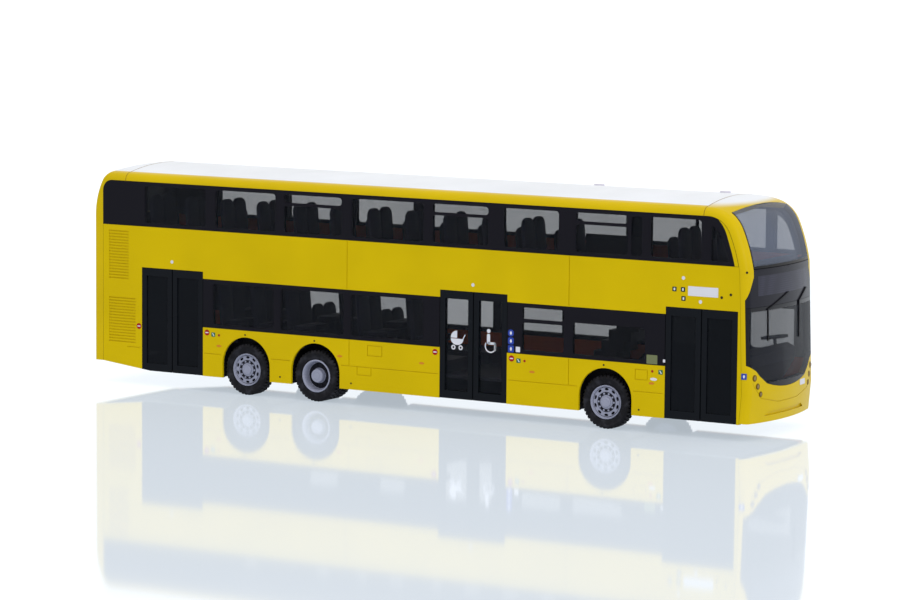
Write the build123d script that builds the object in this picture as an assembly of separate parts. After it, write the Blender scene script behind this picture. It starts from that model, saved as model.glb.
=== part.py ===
from build123d import *
import math
import os

# A 1:87 display model of a three-axle double-decker city bus, in millimetres.
# +X points to the front, -Y is the door side, Z is up, and the tyres stand on Z = 0.

# Body envelope
LENGTH = 158.4
WIDTH = 29.3
HEIGHT = 47.0
HALF_LENGTH = LENGTH / 2
HALF_WIDTH = WIDTH / 2
WALL = 1.0  # thickness of the body mouldings
CROWN_RADIUS = 62.0  # cross curve of the roof and the front
CORNER_RADIUS = 1.7  # rounding between that curve and the flat sides
BACK_CROWN_RADIUS = 210.0  # plan curve of the back, which is much flatter
BACK_CORNER_RADIUS = 1.5  # upright corners of the back
PANEL_GAP = 0.05  # seam between neighbouring body mouldings
INSERT_GAP = 0.06  # seam round a glazing or door insert
BEYOND = 1.0  # how far a cutting tool runs past a face


def from_back(distance):
    """X of a station measured from the back of the bus."""
    return distance - HALF_LENGTH


def from_front(distance):
    """X of a station measured from the front of the bus."""
    return HALF_LENGTH - distance


def from_roof(distance):
    """Z of a level measured from the roof's crest."""
    return HEIGHT - distance


# Ends of the body from the roof down: radius and angle of each bend
DOME_BEND = (8.4, 66.0)
UPPER_SCREEN_BEND = (35.0, 14.0)
SCREEN_CREASE_BEND = (5.0, 8.0)
BUMPER_BEND = (6.0, 7.0)
REAR_ROOF_BEND = (6.0, 62.0)
REAR_WALL_BEND = (16.0, 28.0)
SIDE_REAR_RADIUS = 2.3  # upper rear corner of a body side
FRONT_SEAM_X = from_front(12.0)
REAR_SEAM_X = from_back(7.9)

# Levels on the body
SKIRT_Z = 3.3
TAIL_Z = 4.75  # the skirt rises to this at the back
TAIL_START_X = from_back(14.8)
BUMPER_TOP_Z = 9.6
RUB_LINE_Z = 8.2  # engraved line along the lower body
RUB_LINE_END = 0.45  # where that line stops short of an arch, a door or an end
LOWER_BAND_Z = (13.7, 24.05)
DOOR_TOP_Z = 25.55
DISPLAY_Z = (26.2, from_roof(13.3))
UPPER_SILL_Z = from_roof(12.7)

# Glazing
GLAZING = 0.6  # thickness of a side glazing insert
PANE_EDGE = 0.8  # printed edge between an insert's rim and its clear panes
SCREEN_HALF_WIDTH = HALF_WIDTH - 2.3
SCREEN_TOP_TURN = 33.0  # degrees round the dome where the upper windscreen ends
LOWER_SCREEN_Z = 9.9

# Doors
DOOR_WIDTH = 15.85
DOOR_X = {"rear": from_back(20.05), "middle": from_front(63.9), "front": from_front(12.1)}
DOOR_SPAN = {name: (x - DOOR_WIDTH / 2, x + DOOR_WIDTH / 2) for name, x in DOOR_X.items()}
DOOR_POST = 1.25  # side frame of a leaf
DOOR_RAIL = 1.7  # top and bottom frame of a leaf
DOOR_SEAL = 0.25  # groove between two leaves
DOOR_SEAL_DEPTH = 0.3
DOOR_PANE = 0.5

# Wheels and axles
TAG_X = from_back(39.0)
DRIVE_SPACING = 17.4  # from the tag axle forward to the drive axle
AXLE_X = {"front": from_front(33.35), "drive": TAG_X + DRIVE_SPACING, "tag": TAG_X}
TYRE_RADIUS = 5.4
TYRE_WIDTH = 3.1
TYRE_SHOULDER = 0.45
RIM_RADIUS = 3.45
RIM_DEPTH = 2.6
RIM_LIP = 0.15  # rim lip behind the tyre's outer face
WHEEL_INSET = 0.2  # outer face of a tyre behind the body side
TWIN_GAP = 0.35
AXLE_RADIUS = 0.75
AXLE_SEAT = 0.9  # how far an axle goes into a rim
BEARING_CLEARANCE = 0.06
ARCH_GAP = 0.6  # from a tyre's tread to the arch
ARCH_HEADROOM = 1.5
ARCH_HALF_WIDTH = TYRE_RADIUS + ARCH_GAP
ARCH_TOP_Z = 2 * TYRE_RADIUS + ARCH_HEADROOM
TUNNEL_WALL = 0.5
TUNNEL_CHAMFER = 2.5
TUNNEL_SIDE_GAP = 0.45  # between a tyre's inner face and the tunnel's end wall

# Chassis and floors
CHASSIS_Z = (SKIRT_Z + 0.1, SKIRT_Z + 1.3)
BEARING_WIDTH = 1.6
BEARING_HALF_LENGTH = 2.1
BEARING_TOP_Z = TYRE_RADIUS + 1.9
BEARING_Y = 4.2
CLIP_SLOT = 1.2  # width of the slot through which an axle snaps into its bearing
AXLE_CHANNEL = 2.4  # width of the cut in the pan over an axle
SCREW_X = (-8.0, 30.0)
SCREW_HOLE_RADIUS = 0.9
SCREW_HOLE_DEPTH = 3.4
POST_RADIUS = 1.9
POST_SIDES = 8
POST_X = (from_back(21.2), from_front(17.2))
FLOOR_GAP = 0.05
LOWER_FLOOR_Z = (BEARING_TOP_Z + 0.2, BEARING_TOP_Z + 0.8)
LOWER_FLOOR_X = (from_back(13.2), from_front(7.2))
PODIUM_X = (from_back(19.2), from_back(87.2))
PODIUM_RISE = 2.6
UPPER_FLOOR_Z = (26.0, 26.8)
UPPER_FLOOR_X = (from_back(5.2), from_front(5.8))
PARAPET_X = (from_front(3.8), from_front(3.2))
PARAPET_HALF_WIDTH = HALF_WIDTH - 5.0
PARAPET_TOP_Z = from_roof(12.0)

# Stairs behind the driver, on the off side
STAIR_STEPS = 8
STAIR_RUN = 1.74
STAIR_X = (from_front(49.7), from_front(49.7) + STAIR_STEPS * STAIR_RUN)
STAIR_WIDTH = 6.4
GUARD_TOP_Z = from_roof(10.4)
GUARD_WALL = 0.7

# Seats
SEAT_WIDTH = 4.5
SEAT_SHOULDER = 1.2
SEAT_BACK = 1.1
SEAT_DEPTH = 4.6
SEAT_HEIGHT = 4.6  # top of a cushion above its floor
SEAT_TUCK = 0.8  # overlap of a backrest and its cushion block
BACK_RAKE = 5.0
SEAT_SIDE_GAP = 0.35
SEAT_PITCH = 9.15
BACK_Z = {
    ("upper", "high"): from_roof(6.0),
    ("upper", "low"): from_roof(9.87),
    ("lower", "high"): UPPER_FLOOR_Z[0] - 1.6,
    ("lower", "low"): LOWER_FLOOR_Z[1] + 9.7,
}

# Driver's place on the off side
DRIVER_Y = HALF_WIDTH - 8.5
DRIVER_SEAT_X = from_front(15.2)
DRIVER_SEAT_WIDTH = 5.2
DRIVER_SEAT_Z = LOWER_FLOOR_Z[1] + 4.5
DRIVER_BACK_HEIGHT = 9.0
DASH_X = (from_front(8.6), from_front(3.8))
DASH_HALF_WIDTH = HALF_WIDTH - 4.2
DASH_TOP_Z = LOWER_FLOOR_Z[1] + 8.9
DASH_SLOPE = 1.6
STEERING_RADIUS = 2.8
STEERING_RIM = 0.5
STEERING_SIDES = 20
STEERING_X = from_front(6.3)
STEERING_RISE = 1.35  # above the dashboard
STEERING_TILT = 8.0

# Lamps, louvres and engraving
ENGRAVE_WIDTH = 0.14
ENGRAVE_DEPTH = 0.12
LOUVRE_DEPTH = 0.18
LOUVRE_SLOT = 0.26
LAMP_DEPTH = 0.6
LAMP_PROUD = 0.12
LAMP_SIDES = 12
WIPER_PROUD = 0.28
WIPER_SEAT = 0.02
WIPER_WIDTH = 0.3



def edge_depth(crown, corner):
    """How far a crowned edge has fallen back where its corners meet the body sides."""
    return crown - math.sqrt((crown - corner) ** 2 - (HALF_WIDTH - corner) ** 2)


# Derived places of the edges between the end mouldings, the roof and the body sides
EDGE_DEPTH = edge_depth(CROWN_RADIUS, CORNER_RADIUS)
BACK_EDGE_X = from_back(edge_depth(BACK_CROWN_RADIUS, BACK_CORNER_RADIUS))
SIDE_TOP_Z = HEIGHT - EDGE_DEPTH
INSIDE = HALF_WIDTH - WALL - FLOOR_GAP

# Clear panes of the upper deck: where they are measured from, first and last distance
UPPER_PANES = [
    (from_back, 12.9, 28.7),
    (from_back, 31.1, 46.4),
    (from_back, 48.4, 62.8),
    (from_back, 65.1, 82.6),
    (from_front, 73.8, 59.0),
    (from_front, 57.0, 44.2),
    (from_front, 40.5, 25.4),
    (from_front, 23.6, 12.3),
]
QUARTER_PANE_X = from_front(10.3)  # the front quarter pane starts here and follows the dome

# Clear panes of the lower deck, in the same columns
REAR_PANES = [(from_back, 30.5, 46.0), (from_back, 47.6, 63.4), (from_back, 65.0, 82.7)]
FRONT_PANES = [(from_front, 52.6, 42.8), (from_front, 40.9, 24.4)]
OFF_SIDE_PANES = [(from_front, 73.8, 59.0), (from_front, 57.0, 42.8), (from_front, 40.9, 24.4)]
DRIVER_PANES = [(from_front, 15.8, 5.6)]

# Lower inserts: name, side, first and last X, panes
LOWER_INSERTS = [
    ("lower_glazing_right_rear", -1, (DOOR_SPAN["rear"][1], DOOR_SPAN["middle"][0]), REAR_PANES),
    ("lower_glazing_right_front", -1, (DOOR_SPAN["middle"][1], DOOR_SPAN["front"][0]), FRONT_PANES),
    ("lower_glazing_left", 1, (DOOR_SPAN["rear"][1], DOOR_SPAN["front"][0]), REAR_PANES + OFF_SIDE_PANES),
    ("driver_window", 1, (from_front(16.8), from_front(4.6)), DRIVER_PANES),
]

# Louvre fields on the door side: first and last distance from the back, lowest and highest slot, slots
LOUVRES = [
    (3.6, 8.5, LOWER_BAND_Z[1] - 1.15, UPPER_SILL_Z - 1.3, 17),
    (3.6, 10.3, RUB_LINE_Z + 1.0, RUB_LINE_Z + 10.4, 16),
]

# Upright seams on both sides: X, lower and upper end
SEAMS = [
    (from_back(64.1), LOWER_BAND_Z[1] + 0.2, UPPER_SILL_Z - 0.2),
    (from_front(41.8), LOWER_BAND_Z[1] + 0.2, UPPER_SILL_Z - 0.2),
    (from_back(64.7), RUB_LINE_Z, LOWER_BAND_Z[0] - 0.2),
    (from_front(41.7), RUB_LINE_Z, LOWER_BAND_Z[0] - 0.2),
]

# Service flaps on both sides: first and last X, lower and upper edge
FLAPS = [
    (from_back(69.2), from_back(72.7), 10.7, 12.8),
    (from_back(66.7), from_back(70.1), 6.5, RUB_LINE_Z),
    (from_front(26.6), from_front(23.9), 10.6, 12.6),
]

# Edge of the lower windscreen on one half, from the display down: inset from the side, level
LOWER_SCREEN_EDGE = [
    (2.3, DISPLAY_Z[1] - 1.5),
    (0.25, DISPLAY_Z[1] - 5.9),
    (0.25, 15.0),
    (2.6, 13.8),
    (3.75, 12.7),
    (6.2, 11.05),
]

# Round lamps on one half of an end: inset from the side, level, radius
HEADLAMPS = [(2.1, 12.45, 0.46), (3.05, 10.75, 0.42), (3.95, 9.15, 0.36)]
TAIL_LAMPS = [(2.55, 8.2, 0.8), (2.55, 10.3, 0.8), (2.55, 12.4, 0.8)]

# Lower slot of the bumper and the crease above it on one half: inset from the side, level
BUMPER_SLOT = [(7.4, 5.4), (6.0, 4.6)]
BUMPER_CREASE = [(1.5, 11.6), (2.0, 10.6), (4.35, 8.2), (10.35, 7.0)]

# Back: inset from the side, lower and upper edge
REAR_WINDOW = (4.45, from_roof(11.4), from_roof(4.4))
REAR_DISPLAY = (8.25, from_roof(17.4), from_roof(14.6))
ENGINE_FLAP = (5.05, 7.0, 21.5)
ENGINE_SLOTS = (6.05, 9.0, 19.5, 9)  # the last column is the number of slots


def seat_rows(first, last):
    """Stations of seat rows at the common pitch that fit between two values of X."""
    return [first + i * SEAT_PITCH for i in range(math.floor((last - first - SEAT_DEPTH) / SEAT_PITCH) + 1)]


# Seats: deck, side, backrest, X of the rows
SEAT_ROWS = [
    ("upper", -1, "high", seat_rows(from_back(14.1), STAIR_X[1])),
    ("upper", -1, "high", [from_front(17.3), from_front(8.9)]),
    ("upper", 1, "low", seat_rows(from_back(20.7), STAIR_X[0])),
    ("upper", 1, "low", [from_front(29.0), from_front(20.2)]),
    ("lower", -1, "high", [from_back(distance) for distance in (31.7, 40.2, 48.7, 66.2, 79.2)]),
    ("lower", 1, "high", [from_back(distance) for distance in (21.7, 27.9, 37.0, 50.7, 67.5)]),
    ("lower", 1, "low", [from_back(distance) for distance in (43.5, 60.7)]),
]

# Wipers on the lower windscreen: Y and level of the spindle, the elbow and the blade's foot
WIPERS = [
    ((0.0, 28.3), (-8.1, 25.6), (-8.2, 19.6)),
    ((9.6, 28.3), (5.4, 26.1), (5.1, 19.1)),
]

# Round aerial bases on the roof: X and Y
AERIALS = [(from_front(46.85), 6.7), (from_front(17.5), 5.6)]
AERIAL_RADIUS = 1.1
AERIAL_HEIGHT = 0.4
AERIAL_SIDES = 16

# Rim sections: distance from the axis and depth behind the lip, from the lip inwards
RIM_SECTIONS = {
    "flat": [(RIM_RADIUS, 0), (RIM_RADIUS - 0.4, 0.5), (1.75, 0.5), (1.55, 0.1), (0, 0.1)],
    "deep": [(RIM_RADIUS, 0), (RIM_RADIUS - 0.6, 1.4), (1.5, 1.4), (1.35, 0.3), (0, 0.3)],
}


def polygon(points):
    """Face inside a closed run of straight lines through points."""
    vectors = [Vector(*point) for point in points]
    return make_face([Line(a, b) for a, b in zip(vectors, vectors[1:] + vectors[:1])])


def block(x_range, y_range, z_range):
    """Box between two values on each axis."""
    spans = [x_range, y_range, z_range]
    return Pos(*[sum(span) / 2 for span in spans]) * Box(*[abs(span[1] - span[0]) for span in spans])


def crown_corners(crown, corner, grow):
    """Points of the right and the left corner of a crowned edge moved outwards by grow.

    The origin is on the crest of the edge, local X runs across the bus and local Y points outwards.
    """
    turn = math.asin((HALF_WIDTH - corner) / (crown - corner))
    centre = Vector(HALF_WIDTH - corner, -edge_depth(crown, corner))
    turns = [math.pi / 2, (math.pi / 2 + turn) / 2, turn]
    right = [centre + Vector(math.sin(a), math.cos(a)) * (corner + grow) for a in turns]
    return right, [Vector(-p.X, p.Y) for p in reversed(right)]


def crown_edges(right, left, grow):
    """Corner, crown and corner of a crowned edge."""
    return [ThreePointArc(*right), ThreePointArc(right[2], Vector(0, grow), left[0]), ThreePointArc(*left)]


def crowned_face(crown, corner, grow, depth):
    """Face under a crowned edge, down to a depth below the edge's crest."""
    right, left = crown_corners(crown, corner, grow)
    run = [left[2], Vector(left[2].X, -depth), Vector(right[0].X, -depth), right[0]]
    return make_face(crown_edges(right, left, grow) + [Line(a, b) for a, b in zip(run, run[1:])])


def belt_section(outer, inner, lean=False):
    """Cross section of the front moulding between two offsets from its outer skin.

    A lean section has straight lines on its hidden inner side.
    """
    right, left = crown_corners(CROWN_RADIUS, CORNER_RADIUS, outer)
    right_in, left_in = crown_corners(CROWN_RADIUS, CORNER_RADIUS, inner)
    edges = crown_edges(right, left, outer)
    edges += [Line(left[2], left_in[2]), Line(right_in[0], right[0])]
    if lean:
        run = [left_in[2], left_in[0], Vector(0, inner), right_in[2], right_in[0]]
        edges += [Line(a, b) for a, b in zip(run, run[1:])]
    else:
        edges += crown_edges(right_in, left_in, inner)
    return make_face(edges)


def bend_travel(bend, turn):
    """Forward and downward travel round a bend that starts at a given turn from the roof line."""
    radius, angle = bend
    start, end = math.radians(turn), math.radians(turn + angle)
    return radius * (math.sin(end) - math.sin(start)), radius * (math.cos(start) - math.cos(end))


def front_rows():
    """Front outline from the roof seam down, as straight run, bend radius and bend angle; and its lean."""
    turn, reach, drop = 0.0, 0.0, 0.0
    for bend in (DOME_BEND, UPPER_SCREEN_BEND, SCREEN_CREASE_BEND):
        forward, down = bend_travel(bend, turn)
        reach, drop, turn = reach + forward, drop + down, turn + bend[1]
    slope = math.radians(turn)
    screen_run = (HEIGHT - drop - BUMPER_TOP_Z) / math.sin(slope)
    reach += screen_run * math.cos(slope) + BUMPER_BEND[0] * (1 - math.sin(slope))
    bumper_z = BUMPER_TOP_Z - bend_travel(BUMPER_BEND, turn)[1]
    bumper_run = (bumper_z - SKIRT_Z) / math.sin(math.radians(turn + BUMPER_BEND[1]))
    front = [(HALF_LENGTH - reach - FRONT_SEAM_X, *DOME_BEND), (0, *UPPER_SCREEN_BEND)]
    front += [(0, *SCREEN_CREASE_BEND), (screen_run, *BUMPER_BEND), (bumper_run, 0, 0)]
    return front, 90 - turn


FRONT_ROWS, SCREEN_LEAN = front_rows()
SKIN = belt_section(0, -WALL, lean=True)


def swing(point, axis, angle):
    """Point swung round an axis by an angle."""
    return axis.position + (point - axis.position).rotate(axis, angle)


def belt_frames(gap=0.0):
    """Walk the front outline: each row's first plane, run, plane before the bend, bend axis and angle."""
    turn = 0.0
    place = Vector(FRONT_SEAM_X + gap, 0, HEIGHT)
    for run, radius, angle in [(FRONT_ROWS[0][0] - gap, *FRONT_ROWS[0][1:]), *FRONT_ROWS[1:]]:
        heading = Vector(math.cos(math.radians(turn)), 0, -math.sin(math.radians(turn)))
        start = Plane(origin=place, x_dir=(0, 1, 0), z_dir=heading)
        end = Plane(origin=place + heading * run, x_dir=(0, 1, 0), z_dir=heading)
        axis = Axis(end.origin - end.y_dir * radius, (0, 1, 0))
        yield start, run, end, axis, angle
        turn += angle
        place = swing(end.origin, axis, angle)


def belt(section, gap=0.0):
    """Moulding that carries a section along the front outline, from the roof seam down."""
    solids = []
    for start, run, end, axis, angle in belt_frames(gap):
        if run > 0:
            solids.append(extrude(start * section, run))
        if angle:
            solids.append(revolve(end * section, axis, angle))
    return solids[0].fuse(*solids[1:]).clean()


def front_edges(depth):
    """Edges of the front outline moved inwards by a depth, on the middle plane of the bus."""
    edges = []
    for start, run, end, axis, angle in belt_frames():
        first, last = start.origin - start.y_dir * depth, end.origin - end.y_dir * depth
        if run > 0:
            edges.append(Line(first, last))
        if angle:
            edges.append(ThreePointArc(last, swing(last, axis, angle / 2), swing(last, axis, angle)))
    return edges


def side_outline(gap):
    """Face of a body side between the roof and the ends, drawn in by a gap, on the middle plane."""
    front = front_edges(EDGE_DEPTH + gap)
    back_x, radius = BACK_EDGE_X + gap, SIDE_REAR_RADIUS - gap
    centre, half = Vector(back_x + radius, 0, SIDE_TOP_Z - gap - radius), radius * math.sqrt(0.5)
    arc = [centre + Vector(*step) for step in ((0, 0, radius), (-half, 0, half), (-radius, 0, 0))]
    foot = front[-1] @ 1
    tail = [Vector(TAIL_START_X, 0, SKIRT_Z), Vector(back_x, 0, TAIL_Z)]
    low = [foot, Vector(foot.X, 0, SKIRT_Z), *tail, arc[2]]
    bottom = [Line(a, b) for a, b in zip(low, low[1:]) if (a - b).length > 1e-6]
    return make_face([Line(arc[0], front[0] @ 0), *front, *bottom, ThreePointArc(*arc)])


def plate(face, way, outer, thickness):
    """Plate over a face on the middle plane, with its outer skin at a distance on one side."""
    return extrude(Pos(0, way * (outer - thickness), 0) * face, thickness, dir=(0, way, 0))


def end_prism(face, way):
    """Prism along X over a face in the YZ plane, through one end of the bus."""
    return extrude(Pos(way * FRONT_SEAM_X, 0, 0) * face, LENGTH / 4, dir=(way, 0, 0))


def mirrored(half):
    """Closed face from a run of points on one half, given as inset from the side and level."""
    right = [(0, inset - HALF_WIDTH, level) for inset, level in half]
    return polygon(right + [(0, -y, z) for _, y, z in reversed(right)])


def rectangle_xz(x_range, z_range, shrink):
    """Rectangle on the middle plane, shrunk all round."""
    x0, x1 = x_range[0] + shrink, x_range[1] - shrink
    z0, z1 = z_range[0] + shrink, z_range[1] - shrink
    return polygon([(x0, 0, z0), (x1, 0, z0), (x1, 0, z1), (x0, 0, z1)])


def groove(x_range, z_range, way, depth=ENGRAVE_DEPTH, width=ENGRAVE_WIDTH):
    """Engraving tool along a straight line on a body side."""
    x_span = (x_range[0] - width / 2, x_range[1] + width / 2)
    z_span = (z_range[0] - width / 2, z_range[1] + width / 2)
    return block(x_span, (way * (HALF_WIDTH - depth), way * (HALF_WIDTH + BEYOND)), z_span)


def flap_tools(x_range, z_range, way):
    """Four engraved lines round a service flap."""
    (x0, x1), (z0, z1) = x_range, z_range
    lines = [((x0, x1), (z0, z0)), ((x0, x1), (z1, z1)), ((x0, x0), (z0, z1)), ((x1, x1), (z0, z1))]
    return [groove(x_span, z_span, way) for x_span, z_span in lines]


def arch_tool(axle_x, way):
    """Wheel arch through a body side: straight legs under a half circle."""
    y_range = (way * (HALF_WIDTH - WALL - BEYOND), way * (HALF_WIDTH + BEYOND))
    centre_z = ARCH_TOP_Z - ARCH_HALF_WIDTH
    legs = block((axle_x - ARCH_HALF_WIDTH, axle_x + ARCH_HALF_WIDTH), y_range, (0, centre_z))
    barrel = Rot(90, 0, 0) * Cylinder(ARCH_HALF_WIDTH, WALL + 2 * BEYOND)
    return legs + Pos(axle_x, sum(y_range) / 2, centre_z) * barrel


def rub_lines(way):
    """Stretches of the engraved line along one side, between its arches, doors and ends."""
    stops = [(x - ARCH_HALF_WIDTH, x + ARCH_HALF_WIDTH) for x in AXLE_X.values()]
    stops += DOOR_SPAN.values() if way < 0 else []
    stops = sorted([*stops, (-HALF_LENGTH, REAR_SEAM_X), (FRONT_SEAM_X, HALF_LENGTH)])
    for (_, first), (last, _) in zip(stops, stops[1:]):
        if last - first > 2 * RUB_LINE_END:
            yield first + RUB_LINE_END, last - RUB_LINE_END


def pane_span(row):
    """First and last X of a row of panes."""
    measure, first, last = row
    return measure(first), measure(last)


def upper_pane_tools(y_range):
    """Cuts for the clear panes of the upper band, the last one shaped by the dome."""
    z_range = (UPPER_SILL_Z + PANE_EDGE, SIDE_TOP_Z - PANE_EDGE)
    tools = [block(pane_span(row), y_range, z_range) for row in UPPER_PANES]
    low = min(y_range)
    dome = extrude(Pos(0, low, 0) * side_outline(PANE_EDGE), max(y_range) - low, dir=(0, 1, 0))
    return tools + [dome & block((QUARTER_PANE_X, HALF_LENGTH), y_range, z_range)]


def levels(low, high, count):
    """Evenly spaced levels between two, both included."""
    return [low + (high - low) * i / (round(count) - 1) for i in range(round(count))]


def side_panel(way):
    """Body side with window rebates and panes, door openings, wheel arches, louvres and engraving."""
    panel = plate(side_outline(PANEL_GAP), way, HALF_WIDTH, WALL)
    rebate = (way * (HALF_WIDTH - GLAZING), way * (HALF_WIDTH + BEYOND))
    through = (way * (HALF_WIDTH - WALL - BEYOND), way * (HALF_WIDTH + BEYOND))
    tools = [block((-HALF_LENGTH, HALF_LENGTH), rebate, (UPPER_SILL_Z, HEIGHT)), *upper_pane_tools(through)]
    pane_z = (LOWER_BAND_Z[0] + PANE_EDGE, LOWER_BAND_Z[1] - PANE_EDGE)
    for _, side, span, panes in LOWER_INSERTS:
        if side == way:
            tools.append(block(span, rebate, LOWER_BAND_Z))
            tools += [block(pane_span(row), through, pane_z) for row in panes]
    if way < 0:
        tools += [block(span, through, (0, DOOR_TOP_Z)) for span in DOOR_SPAN.values()]
        for first, last, low, high, count in LOUVRES:
            for z in levels(low, high, count):
                span = (from_back(first), from_back(last))
                tools.append(groove(span, (z, z), way, LOUVRE_DEPTH, LOUVRE_SLOT))
    tools += [arch_tool(x, way) for x in AXLE_X.values()]
    tools += [groove((x, x), (low, high), way) for x, low, high in SEAMS]
    tools += [groove(span, (RUB_LINE_Z, RUB_LINE_Z), way) for span in rub_lines(way)]
    for first, last, low, high in FLAPS:
        tools += flap_tools((first, last), (low, high), way)
    return panel.cut(*tools)


def upper_glazing(way):
    """Glazing insert of the upper deck: flush with the side, from the sill to the belt."""
    above = block((-HALF_LENGTH, HALF_LENGTH), (-BEYOND, BEYOND), (UPPER_SILL_Z + INSERT_GAP, HEIGHT))
    return plate(side_outline(INSERT_GAP) & above, way, HALF_WIDTH, GLAZING)


def tail_tool():
    """Tool that takes away what lies below the rising tail."""
    slope = [(TAIL_START_X, 0, SKIRT_Z), (BACK_EDGE_X, 0, TAIL_Z)]
    face = polygon([*slope, (BACK_EDGE_X, 0, 0), (TAIL_START_X, 0, 0)])
    return extrude(face, WIDTH, dir=(0, 1, 0), both=True)


def door_panes(name):
    """Faces of the two panes of a door."""
    x0, x1 = DOOR_SPAN[name]
    spans = [(x0 + DOOR_POST, DOOR_X[name] - DOOR_POST), (DOOR_X[name] + DOOR_POST, x1 - DOOR_POST)]
    return [rectangle_xz(span, (SKIRT_Z + DOOR_RAIL, DOOR_TOP_Z - DOOR_RAIL), 0) for span in spans]


def door(name):
    """Two-leaf door in its opening, with the seal between the leaves; it doesn't open."""
    leaves = plate(rectangle_xz(DOOR_SPAN[name], (SKIRT_Z, DOOR_TOP_Z), INSERT_GAP), -1, HALF_WIDTH, WALL)
    seal_x = (DOOR_X[name] - DOOR_SEAL / 2, DOOR_X[name] + DOOR_SEAL / 2)
    seal = block(seal_x, (-HALF_WIDTH - BEYOND, DOOR_SEAL_DEPTH - HALF_WIDTH), (0, HEIGHT))
    openings = [plate(face, -1, HALF_WIDTH + BEYOND, WALL + 2 * BEYOND) for face in door_panes(name)]
    return leaves.cut(seal, *openings, tail_tool())


def door_glass(name):
    """The two panes of a door, set back from its leaves."""
    outer = HALF_WIDTH - (WALL - DOOR_PANE) / 2
    return Compound([plate(face, -1, outer, DOOR_PANE).solid() for face in door_panes(name)])


def front_openings(shrink):
    """Tools over the upper windscreen and over the display with the lower windscreen, shrunk all round."""
    half, sill = SCREEN_HALF_WIDTH - shrink, DISPLAY_Z[1]
    face = polygon([(0, -half, sill), (0, half, sill), (0, half, HEIGHT + 1), (0, -half, HEIGHT + 1)])
    axis = next(belt_frames())[3]
    turn = math.radians(SCREEN_TOP_TURN)
    ceiling = Plane(origin=axis.position, x_dir=(0, 1, 0), z_dir=(-math.cos(turn), 0, math.sin(turn)))
    upper = split(end_prism(face, 1), bisect_by=ceiling.offset(-shrink), keep=Keep.BOTTOM)
    right = [Vector(0, inset - HALF_WIDTH, level) for inset, level in LOWER_SCREEN_EDGE]
    left = [Vector(0, -p.Y, p.Z) for p in reversed(right)]
    head = [Vector(0, side * SCREEN_HALF_WIDTH, sill) for side in (-1, 1)]
    run = [*left, head[1], head[0], *right]
    edges = [Line(a, b) for a, b in zip(run, run[1:])]
    edges.append(ThreePointArc(right[-1], Vector(0, 0, LOWER_SCREEN_Z), left[0]))
    lower = make_face(edges)
    if shrink:
        lower = offset(lower, -shrink, kind=Kind.INTERSECTION)
    return upper, end_prism(lower, 1)


def lamp_face(across, up, way):
    """Distance of the outer skin from the middle of the bus where a lamp sits."""
    crown = CROWN_RADIUS if way > 0 else BACK_CROWN_RADIUS
    drop = crown - math.sqrt(crown**2 - across**2)
    lean = math.tan(math.radians(SCREEN_LEAN)) * max(0.0, up - BUMPER_TOP_Z) if way > 0 else 0.0
    return HALF_LENGTH - drop - lean


def lamp_solids(table, way, proud):
    """Round lamps, or their sockets, on both halves of one end."""
    solids = []
    for inset, up, radius in table:
        across = HALF_WIDTH - inset
        skin_x = lamp_face(across, up, way)
        for side in (-1, 1):
            place = Plane(origin=(way * (skin_x - LAMP_DEPTH), side * across, up), z_dir=(way, 0, 0))
            solids.append(extrude(place * RegularPolygon(radius, LAMP_SIDES), LAMP_DEPTH + proud))
    return solids


def rear_outline(grow):
    """Face of the side outline behind the rear roof seam, moved outwards by grow, on the middle plane."""
    reach = bend_travel(REAR_ROOF_BEND, 0)[0] + bend_travel(REAR_WALL_BEND, REAR_ROOF_BEND[1])[0]
    place, turn, edges = Vector(from_back(reach), 0, HEIGHT), 0.0, []
    for radius, angle in (REAR_ROOF_BEND, REAR_WALL_BEND):
        turns = [math.radians(turn + share * angle) for share in (0, 0.5, 1)]
        aims = [Vector(-math.sin(a), 0, math.cos(a)) for a in turns]
        centre = place - aims[0] * radius
        edges.append(ThreePointArc(*[centre + aim * (radius + grow) for aim in aims]))
        place, turn = centre + aims[2] * radius, turn + angle
    first, last = edges[0] @ 0, edges[-1] @ 1
    seam = [Vector(REAR_SEAM_X, 0, TAIL_Z), Vector(REAR_SEAM_X, 0, first.Z)]
    run = [last, Vector(last.X, 0, TAIL_Z), *seam, first]
    return make_face(edges + [Line(a, b) for a, b in zip(run, run[1:])])


def rear_form(grow):
    """Solid behind the rear roof seam, where the roof's curve, the plan curve and the side outline meet."""
    roof = crowned_face(CROWN_RADIUS, CORNER_RADIUS, grow, HEIGHT)
    plan = crowned_face(BACK_CROWN_RADIUS, BACK_CORNER_RADIUS, grow, HALF_LENGTH)
    across = Plane(origin=(0, 0, HEIGHT), x_dir=(0, -1, 0), z_dir=(-1, 0, 0))
    upright = Plane(origin=(-HALF_LENGTH, 0, 0), x_dir=(0, 1, 0), z_dir=(0, 0, 1))
    profile = extrude(rear_outline(grow), WIDTH, dir=(0, 1, 0), both=True)
    return profile & extrude(across * roof, LENGTH) & extrude(upright * plan, 2 * HEIGHT)


def end_skin(way, outer, inner):
    """Skin of one end of the bus between two offsets from its outer face."""
    if way > 0:
        return belt(belt_section(outer, inner))
    return rear_form(outer) - rear_form(inner)


def engraved(way, depth, faces):
    """Engraving tools: faces in the YZ plane carried into one end's skin to a depth."""
    skin = end_skin(way, ENGRAVE_DEPTH, -depth)
    return [skin & end_prism(face, way) for face in faces]


def front_panel():
    """Front moulding: dome, side arches, pillars and bumper round the glazing."""
    panel = belt(SKIN, PANEL_GAP)
    crease = mirrored(BUMPER_CREASE) - Pos(0, 0, ENGRAVE_WIDTH) * mirrored(BUMPER_CREASE)
    tools = [*front_openings(0), *lamp_solids(HEADLAMPS, 1, BEYOND)]
    tools += engraved(1, ENGRAVE_DEPTH, [crease])
    tools += engraved(1, 3 * ENGRAVE_DEPTH, [mirrored(BUMPER_SLOT)])
    return panel.cut(*tools)


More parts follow.
